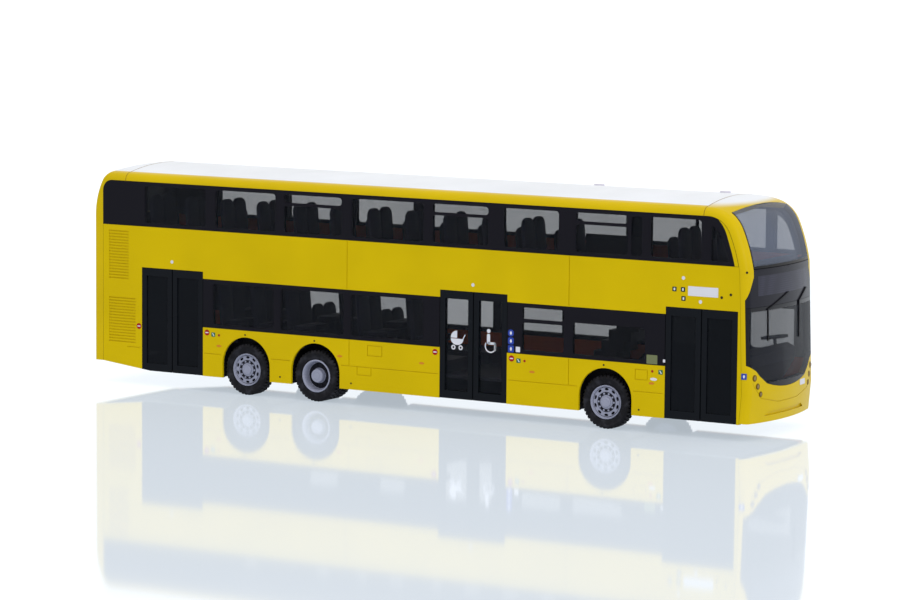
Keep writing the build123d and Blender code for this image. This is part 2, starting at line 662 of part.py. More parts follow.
def front_glazing():
    """Upper windscreen, display panel and lower windscreen, cut from one skin."""
    skin = belt(SKIN)
    upper, lower = front_openings(INSERT_GAP)
    levels = [(DISPLAY_Z[1] + INSERT_GAP, HEIGHT + 1), (DISPLAY_Z[0] + INSERT_GAP, HEIGHT), (0, DISPLAY_Z[0])]
    slices = [block((0, LENGTH), (-WIDTH, WIDTH), level) for level in levels]
    return skin & upper & slices[0], skin & lower & slices[1], skin & lower & slices[2]


def back_face(inset, low, high, shrink=0.0):
    """Rectangle in the YZ plane of the back, from its inset and its edges, shrunk all round."""
    half, z0, z1 = HALF_WIDTH - inset - shrink, low + shrink, high - shrink
    return polygon([(0, -half, z0), (0, half, z0), (0, half, z1), (0, -half, z1)])


def rear_panel():
    """Back moulding: dome and wall with the window opening, engine flap with slots, and lamp sockets."""
    seam = block((REAR_SEAM_X - PANEL_GAP, REAR_SEAM_X + BEYOND), (-WIDTH, WIDTH), (0, 2 * HEIGHT))
    sides = [plate(side_outline(0), way, HALF_WIDTH + BEYOND, WALL + 2 * BEYOND) for way in (-1, 1)]
    flap = back_face(*ENGINE_FLAP) - back_face(*ENGINE_FLAP, ENGRAVE_WIDTH)
    inset, half = ENGINE_SLOTS[0], LOUVRE_SLOT / 2
    slots = [back_face(inset, z - half, z + half) for z in levels(*ENGINE_SLOTS[1:])]
    tools = [end_prism(back_face(*row), -1) for row in (REAR_WINDOW, REAR_DISPLAY)]
    tools += engraved(-1, ENGRAVE_DEPTH, [flap])
    tools += engraved(-1, LOUVRE_DEPTH, slots)
    return end_skin(-1, 0, -WALL).cut(seam, *sides, *tools, *lamp_solids(TAIL_LAMPS, -1, BEYOND))


def rear_glazing():
    """Back window and back display panel."""
    skin = end_skin(-1, 0, -WALL)
    return [skin & end_prism(back_face(*row, INSERT_GAP), -1) for row in (REAR_WINDOW, REAR_DISPLAY)]


def roof_panel():
    """Roof moulding between the two seams."""
    start = Plane(origin=(REAR_SEAM_X, 0, HEIGHT), x_dir=(0, 1, 0), z_dir=(1, 0, 0))
    return extrude(start * SKIN, FRONT_SEAM_X - REAR_SEAM_X)


def roof_aerials():
    """Flat round aerial bases seated on the roof's crown."""
    solids = []
    crown_z = HEIGHT - CROWN_RADIUS
    for x, y in AERIALS:
        seat_z = crown_z + math.sqrt(CROWN_RADIUS**2 - (y + AERIAL_RADIUS) ** 2)
        disc = extrude(Pos(x, y, seat_z) * RegularPolygon(AERIAL_RADIUS, AERIAL_SIDES), AERIAL_HEIGHT)
        crown = Pos(x, 0, crown_z) * Rot(0, 90, 0) * Cylinder(CROWN_RADIUS, 4 * AERIAL_RADIUS)
        solids.append((disc - crown).solid())
    return Compound(solids)


def wipers():
    """Wipers lying on the lower windscreen: an arm from its spindle and an upright blade."""
    layer = end_skin(1, WIPER_PROUD, WIPER_SEAT)
    solids = []
    for joints in WIPERS:
        places = [Vector(0, y, level) for y, level in joints]
        strips = []
        for a, b in zip(places, places[1:]):
            way = (b - a).normalized()
            across, past = Vector(0, -way.Z, way.Y) * (WIPER_WIDTH / 2), way * (WIPER_WIDTH / 2)
            corners = [a + across - past, b + across + past, b - across + past, a - across - past]
            strips.append(end_prism(polygon(corners), 1))
        solids.append((layer & (strips[0] + strips[1])).solid())
    return Compound(solids)


def wheel_face(axle):
    """Inner face of an axle's wheels, measured from the middle of the bus."""
    tyres = 2 * TYRE_WIDTH + TWIN_GAP if axle == "drive" else TYRE_WIDTH
    return HALF_WIDTH - WHEEL_INSET - tyres


def tunnels(axle, grow, outer):
    """Wheel tunnels of an axle on both sides, grown all round, out to a distance from the middle."""
    half, top, cut = ARCH_HALF_WIDTH + grow, ARCH_TOP_Z + grow, TUNNEL_CHAMFER
    points = [(-half, 0), (half, 0), (half, top - cut), (half - cut, top)]
    points += [(cut - half, top), (-half, top - cut)]
    face = polygon([(AXLE_X[axle] + x, 0, z) for x, z in points])
    inner = wheel_face(axle) - TUNNEL_SIDE_GAP - grow
    return [plate(face, way, outer, outer - inner) for way in (-1, 1)]


def chassis_plate():
    """Base moulding: floor pan, wheel tunnels, axle bearings and screw posts."""
    pan_x = HALF_LENGTH - WALL - EDGE_DEPTH
    pan = block((-pan_x, pan_x), (-INSIDE, INSIDE), CHASSIS_Z)
    ground = block((-LENGTH, LENGTH), (-WIDTH, WIDTH), (-HEIGHT, CHASSIS_Z[0]))
    added, cuts = [], [ground, tail_tool()]
    for axle, x in AXLE_X.items():
        added += tunnels(axle, TUNNEL_WALL, INSIDE)
        cuts += tunnels(axle, 0, INSIDE + BEYOND)
        lug_x = (x - BEARING_HALF_LENGTH, x + BEARING_HALF_LENGTH)
        lug_y = (BEARING_Y, BEARING_Y + BEARING_WIDTH)
        lug_z = (CHASSIS_Z[0], BEARING_TOP_Z)
        added += [block(lug_x, (way * lug_y[0], way * lug_y[1]), lug_z) for way in (-1, 1)]
        bore = Rot(90, 0, 0) * Cylinder(AXLE_RADIUS + BEARING_CLEARANCE, 2 * lug_y[1])
        cuts.append(Pos(x, 0, TYRE_RADIUS) * bore)
        cuts.append(block((x - CLIP_SLOT / 2, x + CLIP_SLOT / 2), (-lug_y[1], lug_y[1]), (0, TYRE_RADIUS)))
        wall_y = wheel_face(axle)
        channel_x = (x - AXLE_CHANNEL / 2, x + AXLE_CHANNEL / 2)
        for span in ((-wall_y, -lug_y[1]), (-lug_y[0], lug_y[0]), (lug_y[1], wall_y)):
            cuts.append(block(channel_x, span, (0, TYRE_RADIUS + AXLE_CHANNEL / 2)))
    post = extrude(RegularPolygon(POST_RADIUS, POST_SIDES), LOWER_FLOOR_Z[0] - CHASSIS_Z[0])
    added += [Pos(x, 0, CHASSIS_Z[0]) * post for x in (*SCREW_X, *POST_X)]
    cuts += [Pos(x, 0, CHASSIS_Z[0]) * Cylinder(SCREW_HOLE_RADIUS, 2 * SCREW_HOLE_DEPTH) for x in SCREW_X]
    return pan.fuse(*added).cut(*cuts).clean()


def seat_pair(x, y, floor_z, back_z):
    """Two seats side by side: a cushion block and two raked backrests with cut shoulders."""
    half, cut = SEAT_WIDTH, SEAT_SHOULDER
    cushion = block((x, x + SEAT_DEPTH), (y - half, y + half), (floor_z, floor_z + SEAT_HEIGHT))
    rake = math.radians(BACK_RAKE)
    height = (back_z - floor_z) / math.cos(rake)
    foot = SEAT_BACK * math.tan(rake)
    outline = [(-half, foot), (half, foot), (half, height - cut), (half - cut, height), (cut, height)]
    outline += [(0, height - cut), (-cut, height), (cut - half, height), (-half, height - cut)]
    facing = (math.cos(rake), 0, math.sin(rake))
    upright = Plane(origin=(x + SEAT_TUCK, y, floor_z), x_dir=(0, 1, 0), z_dir=facing)
    return cushion.fuse(extrude(upright * polygon(outline), -SEAT_BACK)).clean()


def tunnel_clearances():
    """All wheel tunnels grown by their wall and the floor gap, out past the body sides."""
    return [tool for axle in AXLE_X for tool in tunnels(axle, TUNNEL_WALL + FLOOR_GAP, WIDTH)]


def seats(deck, floor_z):
    """All seats of one deck, each pair its own solid, cut clear of the wheel tunnels."""
    lane = INSIDE - SEAT_SIDE_GAP - SEAT_WIDTH
    pairs = []
    for name, side, back, stations in SEAT_ROWS:
        if name == deck:
            pairs += [seat_pair(x, side * lane, floor_z, BACK_Z[deck, back]) for x in stations]
    return Compound([pair.cut(*tunnel_clearances()).solid() for pair in pairs])


def upper_floor():
    """Upper deck floor with the parapet under the upper windscreen and the guard round the stairs."""
    floor = block(UPPER_FLOOR_X, (-INSIDE, INSIDE), UPPER_FLOOR_Z)
    well = block(STAIR_X, (INSIDE - STAIR_WIDTH, WIDTH), (0, HEIGHT))
    parapet_y = (-PARAPET_HALF_WIDTH, PARAPET_HALF_WIDTH)
    apron = block((UPPER_FLOOR_X[1], PARAPET_X[1]), parapet_y, UPPER_FLOOR_Z)
    parapet = block(PARAPET_X, parapet_y, (UPPER_FLOOR_Z[0], PARAPET_TOP_Z))
    guard_y = (INSIDE - STAIR_WIDTH - GUARD_WALL, INSIDE - STAIR_WIDTH)
    guard = block(STAIR_X, guard_y, (UPPER_FLOOR_Z[0], GUARD_TOP_Z))
    return (floor - well).fuse(apron, parapet, guard).clean()


def lower_floor():
    """Lower deck floor on the screw posts, cut round the wheel tunnels, with podiums for the seats."""
    floor = block(LOWER_FLOOR_X, (-INSIDE, INSIDE), LOWER_FLOOR_Z)
    inner = INSIDE - 2 * SEAT_WIDTH - SEAT_SIDE_GAP
    podium_z = (LOWER_FLOOR_Z[0], LOWER_FLOOR_Z[1] + PODIUM_RISE)
    podiums = [block(PODIUM_X, (way * inner, way * INSIDE), podium_z) for way in (-1, 1)]
    return floor.fuse(*podiums).cut(*tunnel_clearances()).clean()


def staircase():
    """Steps on the off side from the lower floor up to the upper one."""
    y_range = (INSIDE - STAIR_WIDTH + FLOOR_GAP, INSIDE - FLOOR_GAP)
    rise = (UPPER_FLOOR_Z[0] - FLOOR_GAP - LOWER_FLOOR_Z[1]) / STAIR_STEPS
    steps = []
    for i in range(STAIR_STEPS):
        x, top = STAIR_X[0] + i * STAIR_RUN, LOWER_FLOOR_Z[1] + (i + 1) * rise
        steps.append(block((x, x + STAIR_RUN), y_range, (max(LOWER_FLOOR_Z[1], top - 3 * rise), top)))
    return steps[0].fuse(*steps[1:]).cut(*tunnel_clearances()).clean()


def driver_seat():
    """Driver's seat on a pedestal, with cut shoulders on its backrest."""
    x, half, cut = DRIVER_SEAT_X, DRIVER_SEAT_WIDTH / 2, SEAT_SHOULDER
    pedestal_x = (x + SEAT_BACK, x + SEAT_DEPTH - SEAT_BACK)
    pedestal_y = (DRIVER_Y - half / 2, DRIVER_Y + half / 2)
    pedestal = block(pedestal_x, pedestal_y, (LOWER_FLOOR_Z[1], DRIVER_SEAT_Z))
    cushion_z = (DRIVER_SEAT_Z, DRIVER_SEAT_Z + SEAT_BACK)
    cushion = block((x, x + SEAT_DEPTH), (DRIVER_Y - half, DRIVER_Y + half), cushion_z)
    height = DRIVER_BACK_HEIGHT
    outline = [(-half, 0), (half, 0), (half, height - cut), (half - cut, height), (cut - half, height)]
    outline += [(-half, height - cut)]
    upright = Plane(origin=(x, DRIVER_Y, DRIVER_SEAT_Z), x_dir=(0, 1, 0), z_dir=(1, 0, 0))
    return pedestal.fuse(cushion, extrude(upright * polygon(outline), -SEAT_BACK)).clean()


def dashboard():
    """Dashboard across the cab with a sloped top, standing on the lower floor."""
    (x0, x1), foot, top = DASH_X, LOWER_FLOOR_Z[1], DASH_TOP_Z
    shelf = LOWER_FLOOR_X[1] - DASH_SLOPE
    points = [(shelf, foot), (LOWER_FLOOR_X[1], foot), (x1, top - 2 * DASH_SLOPE), (x1, top - DASH_SLOPE / 2)]
    points += [(x1 - DASH_SLOPE, top), (x0, top - DASH_SLOPE / 2), (x0, top - 2 * DASH_SLOPE)]
    face = polygon([(x, 0, z) for x, z in points])
    return extrude(face, DASH_HALF_WIDTH, dir=(0, 1, 0), both=True)


def steering_wheel():
    """Steering wheel: a ring with three spokes on a column that stands on the dashboard."""
    hole = RegularPolygon(STEERING_RADIUS - STEERING_RIM, STEERING_SIDES)
    rim_band = extrude(RegularPolygon(STEERING_RADIUS, STEERING_SIDES) - hole, STEERING_RIM / 2, both=True)
    half = STEERING_RIM / 2
    spoke = block((0, STEERING_RADIUS - half), (-half, half), (-half / 2, half / 2))
    spokes = [Rot(0, 0, angle) * spoke for angle in (0, 120, 240)]
    column = block((-half, half), (-half, half), (-STEERING_RISE - DASH_SLOPE, 0))
    place = Pos(STEERING_X, DRIVER_Y, DASH_TOP_Z + STEERING_RISE) * Rot(0, -STEERING_TILT, 0)
    wheel = place * rim_band.fuse(*spokes, column)
    return (wheel - dashboard()).solids().sort_by(SortBy.VOLUME)[-1]


def tyre(outer_y, bore):
    """Tyre round a bore, with a cut shoulder, its outer face at a distance from the middle of the bus."""
    inner_y, high, cut = outer_y - TYRE_WIDTH, TYRE_RADIUS, TYRE_SHOULDER
    points = [(bore, inner_y), (bore, outer_y), (high - cut, outer_y), (high, outer_y - cut), (high, inner_y)]
    return revolve(polygon(points), Axis.Y, 360)


def rim(kind, outer_y):
    """Wheel rim with a blind seat for the axle's end."""
    back_y = outer_y - RIM_DEPTH
    points = [(r, outer_y - RIM_LIP - depth) for r, depth in RIM_SECTIONS[kind]]
    points += [(0, back_y + AXLE_SEAT), (AXLE_RADIUS, back_y + AXLE_SEAT)]
    points += [(AXLE_RADIUS, back_y), (RIM_RADIUS, back_y)]
    return revolve(polygon(points), Axis.Y, 360)


def wheel_pieces(axle):
    """Axle, rims and tyres of one axle by name; the inner twins of the drive axle sit on the axle itself."""
    place = Pos(AXLE_X[axle], 0, TYRE_RADIUS)
    face_y = HALF_WIDTH - WHEEL_INSET
    shaft = Rot(90, 0, 0) * Cylinder(AXLE_RADIUS, 2 * (face_y - RIM_DEPTH + AXLE_SEAT))
    solids = {f"{axle}_axle": shaft}
    for side, turn in (("right", 180), ("left", 0)):
        outer = tyre(face_y, RIM_RADIUS)
        if axle == "drive":
            inner = tyre(face_y - TYRE_WIDTH - TWIN_GAP, AXLE_RADIUS)
            solids[f"tyres_{axle}_{side}"] = Rot(0, 0, turn) * Compound([outer.solid(), inner.solid()])
            solids[f"rims_{axle}_{side}"] = Rot(0, 0, turn) * rim("deep", face_y)
        else:
            solids[f"tyre_{axle}_{side}"] = Rot(0, 0, turn) * outer
            solids[f"rim_{axle}_{side}"] = Rot(0, 0, turn) * rim("flat", face_y)
    return {name: place * solid for name, solid in solids.items()}


def all_pieces():
    """Every sub-part of the model by name."""
    pieces = {"chassis_plate": chassis_plate(), "roof_panel": roof_panel()}
    pieces["front_panel"], pieces["rear_panel"] = front_panel(), rear_panel()
    for side, way in (("right", -1), ("left", 1)):
        pieces[f"side_panel_{side}"] = side_panel(way)
        pieces[f"upper_glazing_{side}"] = upper_glazing(way)
    for name, way, span, _ in LOWER_INSERTS:
        pane = rectangle_xz(span, LOWER_BAND_Z, INSERT_GAP)
        pieces[name] = plate(pane, way, HALF_WIDTH, GLAZING)
    pieces["windscreen_upper"], pieces["front_display"], pieces["windscreen_lower"] = front_glazing()
    pieces["rear_window"], pieces["rear_display"] = rear_glazing()
    for name in DOOR_X:
        pieces[f"door_{name}"], pieces[f"door_glass_{name}"] = door(name), door_glass(name)
    pieces["upper_floor"], pieces["lower_floor"] = upper_floor(), lower_floor()
    pieces["upper_seats"] = seats("upper", UPPER_FLOOR_Z[1])
    pieces["lower_seats"] = seats("lower", LOWER_FLOOR_Z[1] + PODIUM_RISE)
    pieces["staircase"], pieces["driver_seat"] = staircase(), driver_seat()
    pieces["dashboard"], pieces["steering_wheel"] = dashboard(), steering_wheel()
    pieces["wipers"], pieces["roof_aerials"] = wipers(), roof_aerials()
    for name, table, way in (("headlamps", HEADLAMPS, 1), ("tail_lamps", TAIL_LAMPS, -1)):
        pieces[name] = Compound([lens.solid() for lens in lamp_solids(table, way, LAMP_PROUD)])
    for axle in AXLE_X:
        pieces.update(wheel_pieces(axle))
    return pieces


os.makedirs("parts", exist_ok=True)
for node, shape in all_pieces().items():
    export_step(shape, f"parts/{node}.step")
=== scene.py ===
"""Looks for a small plastic display model of a long double-decker city bus."""

import logging
import math
from dataclasses import dataclass
from enum import Enum
from typing import Any, Callable, Mapping, Sequence

import bmesh
import bpy
from mathutils import Matrix, Vector
from mathutils.bvhtree import BVHTree


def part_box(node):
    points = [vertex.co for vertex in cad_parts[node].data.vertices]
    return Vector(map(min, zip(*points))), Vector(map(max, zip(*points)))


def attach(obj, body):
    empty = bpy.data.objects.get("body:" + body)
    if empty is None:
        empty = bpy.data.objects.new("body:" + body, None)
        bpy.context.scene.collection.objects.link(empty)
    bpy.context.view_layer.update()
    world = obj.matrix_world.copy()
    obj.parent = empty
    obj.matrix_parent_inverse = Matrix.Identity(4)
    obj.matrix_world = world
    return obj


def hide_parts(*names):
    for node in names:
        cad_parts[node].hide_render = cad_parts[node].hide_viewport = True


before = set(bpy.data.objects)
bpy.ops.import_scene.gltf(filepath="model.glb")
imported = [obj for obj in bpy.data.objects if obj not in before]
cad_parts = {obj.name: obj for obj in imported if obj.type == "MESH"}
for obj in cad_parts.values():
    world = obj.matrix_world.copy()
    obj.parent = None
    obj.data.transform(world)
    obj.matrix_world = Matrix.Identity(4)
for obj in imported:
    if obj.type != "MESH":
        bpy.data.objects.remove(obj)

LOG = logging.getLogger("model_bus")
MM = 0.001

Point = tuple[float, float]
Place = tuple[float, float, float]
Mesh = bmesh.types.BMesh
Loop = list[Point]
Colour = tuple[int, int, int]


class Side(Enum):
    """The two long sides of the bus, as the sign of Y."""

    DOORS = -1
    DRIVER = 1


class WheelKind(Enum):
    """How a wheel's face is dished."""

    FLAT = "flat"
    DEEP = "deep"


def linear(colour: Colour) -> tuple[float, float, float, float]:
    """Turns a colour as it looks on screen into a shader value.

    Args:
        colour: red, green and blue from 0 to 255.

    Returns:
        Linear red, green, blue and an alpha of 1.
    """
    shares = [c / 255 for c in colour]
    red, green, blue = (s / 12.92 if s <= 0.04045 else ((s + 0.055) / 1.055) ** 2.4 for s in shares)
    return (red, green, blue, 1.0)


def toned(colour: Colour, share: float) -> Colour:
    """The colour made lighter (share above 1) or darker (share below 1)."""
    red, green, blue = (max(0, min(255, round(c * share))) for c in colour)
    return (red, green, blue)


class Sock:
    """A shader socket that is reckoned with like a number."""

    def __init__(self, tree: "Tree", socket: bpy.types.NodeSocket) -> None:
        """Keeps the socket and the tree that it belongs to."""
        self.tree = tree
        self.socket = socket

    def _math(self, operation: str, first: Any, second: Any) -> "Sock":
        """Adds one Math node and returns its result."""
        return self.tree.node("ShaderNodeMath", {"operation": operation}, {0: first, 1: second})

    def __add__(self, other: Any) -> "Sock":
        """self + other."""
        return self._math("ADD", self, other)

    def __radd__(self, other: Any) -> "Sock":
        """other + self."""
        return self._math("ADD", other, self)

    def __sub__(self, other: Any) -> "Sock":
        """self - other."""
        return self._math("SUBTRACT", self, other)

    def __rsub__(self, other: Any) -> "Sock":
        """other - self."""
        return self._math("SUBTRACT", other, self)

    def __mul__(self, other: Any) -> "Sock":
        """self * other."""
        return self._math("MULTIPLY", self, other)

    def __rmul__(self, other: Any) -> "Sock":
        """other * self."""
        return self._math("MULTIPLY", other, self)

    def __abs__(self) -> "Sock":
        """Distance of self from zero."""
        return self._math("ABSOLUTE", self, 0.0)

    def most(self, other: Any) -> "Sock":
        """The larger of self and other."""
        return self._math("MAXIMUM", self, other)

    def rise(self, low: float, high: float) -> "Sock":
        """0 below low, 1 above high and a soft step between them."""
        values = {"Value": self, "From Min": low, "From Max": high}
        return self.tree.node("ShaderNodeMapRange", {"interpolation_type": "SMOOTHSTEP"}, values)


class Tree:
    """The node tree of one finish, or of the studio's surround."""

    def __init__(self, owner: bpy.types.Material | bpy.types.World) -> None:
        """Empties the node tree of its owner."""
        owner.use_nodes = True
        self.owner = owner
        self.nodes = owner.node_tree.nodes
        self.links = owner.node_tree.links
        self.nodes.clear()

    def node(self, kind: str, settings: Mapping[str, Any] | None = None,
             inputs: Mapping[Any, Any] | None = None, output: Any = 0) -> Sock:
        """Adds one node.

        Args:
            kind: the node's type.
            settings: properties of the node, set before its sockets.
            inputs: a value or a Sock for each named or numbered socket.
            output: name or number of the socket to hand back.

        Returns:
            The chosen output.
        """
        made = self.nodes.new(kind)
        for key, value in (settings or {}).items():
            setattr(made, key, value)
        for key, value in (inputs or {}).items():
            if isinstance(value, Sock):
                self.links.new(value.socket, made.inputs[key])
            else:
                made.inputs[key].default_value = value
        return Sock(self, made.outputs[output] if len(made.outputs) else made.inputs[0])

    def where(self) -> Sock:
        """The place on the piece in metres, in the frame of the bus."""
        return self.node("ShaderNodeTexCoord", output="Object")

    def along(self, axis: str) -> Sock:
        """The place along one axis in millimetres."""
        return self.node("ShaderNodeSeparateXYZ", inputs={0: self.where()}, output=axis) * 1000.0

    def facing(self, axis: str) -> Sock:
        """How far the surface looks along an axis, from -1 to 1."""
        normal = self.node("ShaderNodeNewGeometry", output="Normal")
        return self.node("ShaderNodeSeparateXYZ", inputs={0: normal}, output=axis)

    def noise(self, size: float, detail: float = 2.0) -> Sock:
        """Soft noise whose blotches are about that many millimetres across."""
        values = {"Vector": self.where(), "Scale": 1000.0 / size, "Detail": detail, "Roughness": 0.5}
        return self.node("ShaderNodeTexNoise", inputs=values, output="Fac")

    def mix(self, factor: Any, first: Any, second: Any) -> Sock:
        """Mixes two colours: first at factor 0, second at factor 1."""
        return self.node("ShaderNodeMix", {"data_type": "RGBA"}, {0: factor, 6: first, 7: second}, 2)

    def inside(self, axis: str, low: float, high: float, soft: float = 0.05) -> Sock:
        """1 between low and high along an axis (millimetres), 0 outside."""
        place = self.along(axis)
        return place.rise(low - soft, low + soft) * (1 - place.rise(high - soft, high + soft))

    def bump(self, height: Sock, depth: float) -> Sock:
        """A surface normal from a height between 0 and 1, for a depth in millimetres."""
        values = {"Height": height, "Distance": depth * MM, "Strength": 1.0}
        return self.node("ShaderNodeBump", inputs=values)

    def surface(self, inputs: Mapping[str, Any]) -> bpy.types.Material:
        """Closes the tree with a surface shader that has these inputs, and returns the material."""
        shader = self.node("ShaderNodeBsdfPrincipled", inputs=inputs)
        self.node("ShaderNodeOutputMaterial", inputs={"Surface": shader})
        return self.owner


@dataclass(frozen=True)
class Moulding:
    """Injection-moulded plastic of one colour, with a faint drift of colour and a fine grain."""

    name: str
    colour: Colour
    roughness: float = 0.32
    drift: float = 0.05
    grain: float = 0.45
    depth: float = 0.006
    coat: float = 0.0
    metallic: float = 0.0
    specular: float = 0.1

    def colouring(self, tree: Tree) -> Sock:
        """Colour over the surface.

        Args:
            tree: the tree that the nodes go into.

        Returns:
            The colour, a little lighter and darker in wide soft blotches.
        """
        low, high = toned(self.colour, 1 - self.drift), toned(self.colour, 1 + self.drift)
        return tree.mix(tree.noise(14.0), linear(low), linear(high))

    def make(self) -> bpy.types.Material:
        """Builds the material: drifting colour, uneven gloss and moulded grain."""
        tree = Tree(bpy.data.materials.new(self.name))
        grain = tree.noise(self.grain, 3.0)
        patches = tree.noise(6.0)
        return tree.surface({
            "Base Color": self.colouring(tree),
            "Roughness": patches * 0.12 + (self.roughness - 0.06),
            "Metallic": self.metallic,
            "Specular IOR Level": self.specular,
            "Coat Weight": self.coat,
            "Coat Roughness": 0.12,
            "Normal": tree.bump(grain, self.depth),
        })


@dataclass(frozen=True)
class InnerShadePanel(Moulding):
    """A body panel whose inner side carries painted shade: dark, and brown below both rows of windows where
    its yellow lies in shade.
    """

    # Painted shade: the inner side is painted dark, and brown below the windows, where the real panel is
    # yellow in shade.
    dark: Colour = (26, 25, 31)
    inner_shade_colour: Colour = (250, 118, 52)
    brown_shade_low: Point = (3.0, 13.6)
    brown_shade_high: Point = (26.0, 34.4)
    skin: float = 14.1

    def colouring(self, tree: Tree) -> Sock:
        """The moulding's own colour outside; within the skin, painted shade: dark, and brown below the
        windows.
        """
        outside = abs(tree.along("Y")).rise(self.skin - 0.03, self.skin + 0.03)
        inwards = (tree.facing("Y") * tree.along("Y") * -1.0).rise(4.0, 6.0)
        brown_shade = inwards * (tree.inside("Z", *self.brown_shade_low) + tree.inside("Z", *self.brown_shade_high))
        within = tree.mix(brown_shade, linear(self.dark), linear(self.inner_shade_colour))
        return tree.mix(outside, within, super().colouring(tree))


@dataclass(frozen=True)
class RoofPaint(Moulding):
    """White over a cantrail in the body's colour, with painted shade on the inner side: dull and dark."""

    edge: Colour = (207, 177, 0)
    edge_z: float = 45.72
    soft: float = 0.04
    # Painted shade: the dark colour given to the inner faces.
    inner_shade_colour: Colour = (40, 38, 44)
    inner: tuple[str, float] = ("Z", -1.0)

    def colouring(self, tree: Tree) -> Sock:
        """White above the cantrail line, the body colour below it, painted shade on the inner faces."""
        tones = [linear(toned(self.edge, 1 + way * self.drift)) for way in (-1, 1)]
        cantrail = tree.mix(tree.noise(14.0), *tones)
        high = tree.along("Z").rise(self.edge_z - self.soft, self.edge_z + self.soft)
        outer = tree.mix(high, cantrail, super().colouring(tree))
        axis, way = self.inner
        inwards = (tree.facing("Y") * tree.along("Y") * -1.0).rise(4.0, 6.0)
        # Painted shade: faces that look inwards along Y, or along the inner axis, get the dark colour.
        return tree.mix((tree.facing(axis) * way).rise(0.3, 0.4) + inwards, outer, linear(self.inner_shade_colour))


@dataclass(frozen=True)
class Glazing:
    """Tinted clear plastic, with an opaque printed margin where it has one."""

    name: str
    tint: Colour = (12, 15, 22)
    cover: float = 0.36
    roughness: float = 0.06
    specular: float = 0.15
    margin: Colour = (16, 17, 22)
    clear_y: Point | None = None
    clear_z: Point | None = None

    def make(self) -> bpy.types.Material:
        """Builds the material: faint smears, flow marks and the printed margin."""
        tree = Tree(bpy.data.materials.new(self.name))
        smears = tree.noise(9.0, 4.0)
        glass = tree.mix(smears, linear(toned(self.tint, 0.85)), linear(toned(self.tint, 1.2)))
        cover = smears * 0.05 + (self.cover - 0.025)
        spans = [(axis, span) for axis, span in (("Y", self.clear_y), ("Z", self.clear_z)) if span]
        if spans:
            clear = tree.inside(spans[0][0], *spans[0][1])
            for axis, span in spans[1:]:
                clear = clear * tree.inside(axis, *span)
            glass = tree.mix(clear, linear(self.margin), glass)
            cover = 1 - clear * (1 - cover)
        return tree.surface({
            "Base Color": glass,
            "Alpha": cover,
            "Roughness": smears * 0.05 + self.roughness,
            "Specular IOR Level": self.specular,
            "Normal": tree.bump(tree.noise(22.0), 0.03),
        })


@dataclass(frozen=True)
class DisplayScreen(Moulding):
    """A dark glossy display cover with a slightly paler matrix field behind it."""

    field: Colour = (58, 58, 72)
    field_y: Point = (-11.0, 11.0)
    field_z: Point = (28.4, 32.3)
    pitch: float = 0.42

    def colouring(self, tree: Tree) -> Sock:
        """The cover's colour with the field of fine dots inside its frame."""
        inside = tree.inside("Y", *self.field_y) * tree.inside("Z", *self.field_z)
        values = {"Vector": tree.where(), "Scale": 1000.0 / self.pitch, "Randomness": 0.0}
        dots = tree.node("ShaderNodeTexVoronoi", inputs=values, output="Distance").rise(0.25, 0.5)
        field = tree.mix(dots, linear(self.field), linear(toned(self.field, 0.82)))
        return tree.mix(inside, super().colouring(tree), field)


@dataclass(frozen=True)
class TyreRubber(Moulding):
    """Dull black rubber-like plastic with pale blotches of dust."""

    bloom: Colour = (46, 46, 52)

    def colouring(self, tree: Tree) -> Sock:
        """Black with blotches of bloom."""
        dust = tree.noise(1.6, 4.0).rise(0.45, 0.75)
        return tree.mix(dust, super().colouring(tree), linear(self.bloom))


@dataclass(frozen=True)
class FloorSheet:
    """A plain white sheet with a soft gloss that carries a faint mirror image."""

    name: str = "studio_floor"
    colour: Colour = (164, 167, 172)
    glow: Colour = (232, 244, 255)
    lift: float = 0.52
    roughness: float = 0.03

    def make(self) -> bpy.types.Material:
        """Builds the material: faintly uneven and glossy, with a weak glow of its own."""
        tree = Tree(bpy.data.materials.new(self.name))
        cloud = tree.noise(300.0)
        return tree.surface({
            "Base Color": tree.mix(cloud, linear(toned(self.colour, 0.985)), linear(self.colour)),
            "Roughness": cloud * 0.04 + self.roughness,
            "IOR": 1.42,
            "Emission Color": linear(self.glow),
            "Emission Strength": self.lift,
        })


def ink(name: str, colour: Colour, roughness: float = 0.4) -> Moulding:
    """A thin printed ink, smoother than a moulding."""
    return Moulding(name, colour, roughness=roughness, depth=0.002)


# The side panels carry painted shade on their inner side: dark, and brown below the windows.
YELLOW = InnerShadePanel("body_yellow_plastic", (207, 178, 0), specular=0.06)
ROOF = RoofPaint("roof_white_plastic", (226, 229, 234))
# The front moulding's white top is the roof's two-tone paint; its soft blend into the yellow over about a
# millimetre is a painted highlight on the dome.
FRONT_END = RoofPaint("front_moulding_plastic", (226, 229, 234), edge_z=45.9, soft=0.5, inner=("X", -1.0))
REAR_END = RoofPaint("rear_moulding_plastic", (226, 229, 234), inner=("X", 1.0))
YELLOW_PRINT = Moulding("body_yellow_paint", (207, 178, 0), specular=0.06)
AERIAL = Moulding("aerial_grey_plastic", (206, 202, 216))
SEAM = Moulding("seam_shadow", (132, 100, 26), roughness=0.6)
BLACK = Moulding("chassis_black_plastic", (24, 24, 28), roughness=0.55)
CABIN = Moulding("interior_grey_plastic", (48, 46, 54), roughness=0.5)
SEATS = Moulding("seat_plastic", (36, 36, 50), roughness=0.5)
GLASS = Glazing("tinted_glazing")
DOOR_GLASS = Glazing("door_glazing", tint=(18, 22, 29), cover=0.30)
DARK_GLASS = Glazing("dark_door_glazing", tint=(13, 16, 21), cover=0.95, specular=0.05)
SCREEN_LOW = Glazing("lower_windscreen", tint=(20, 23, 33), cover=0.46, clear_y=(-13.8, 13.8),
                     clear_z=(11.2, 25.4))
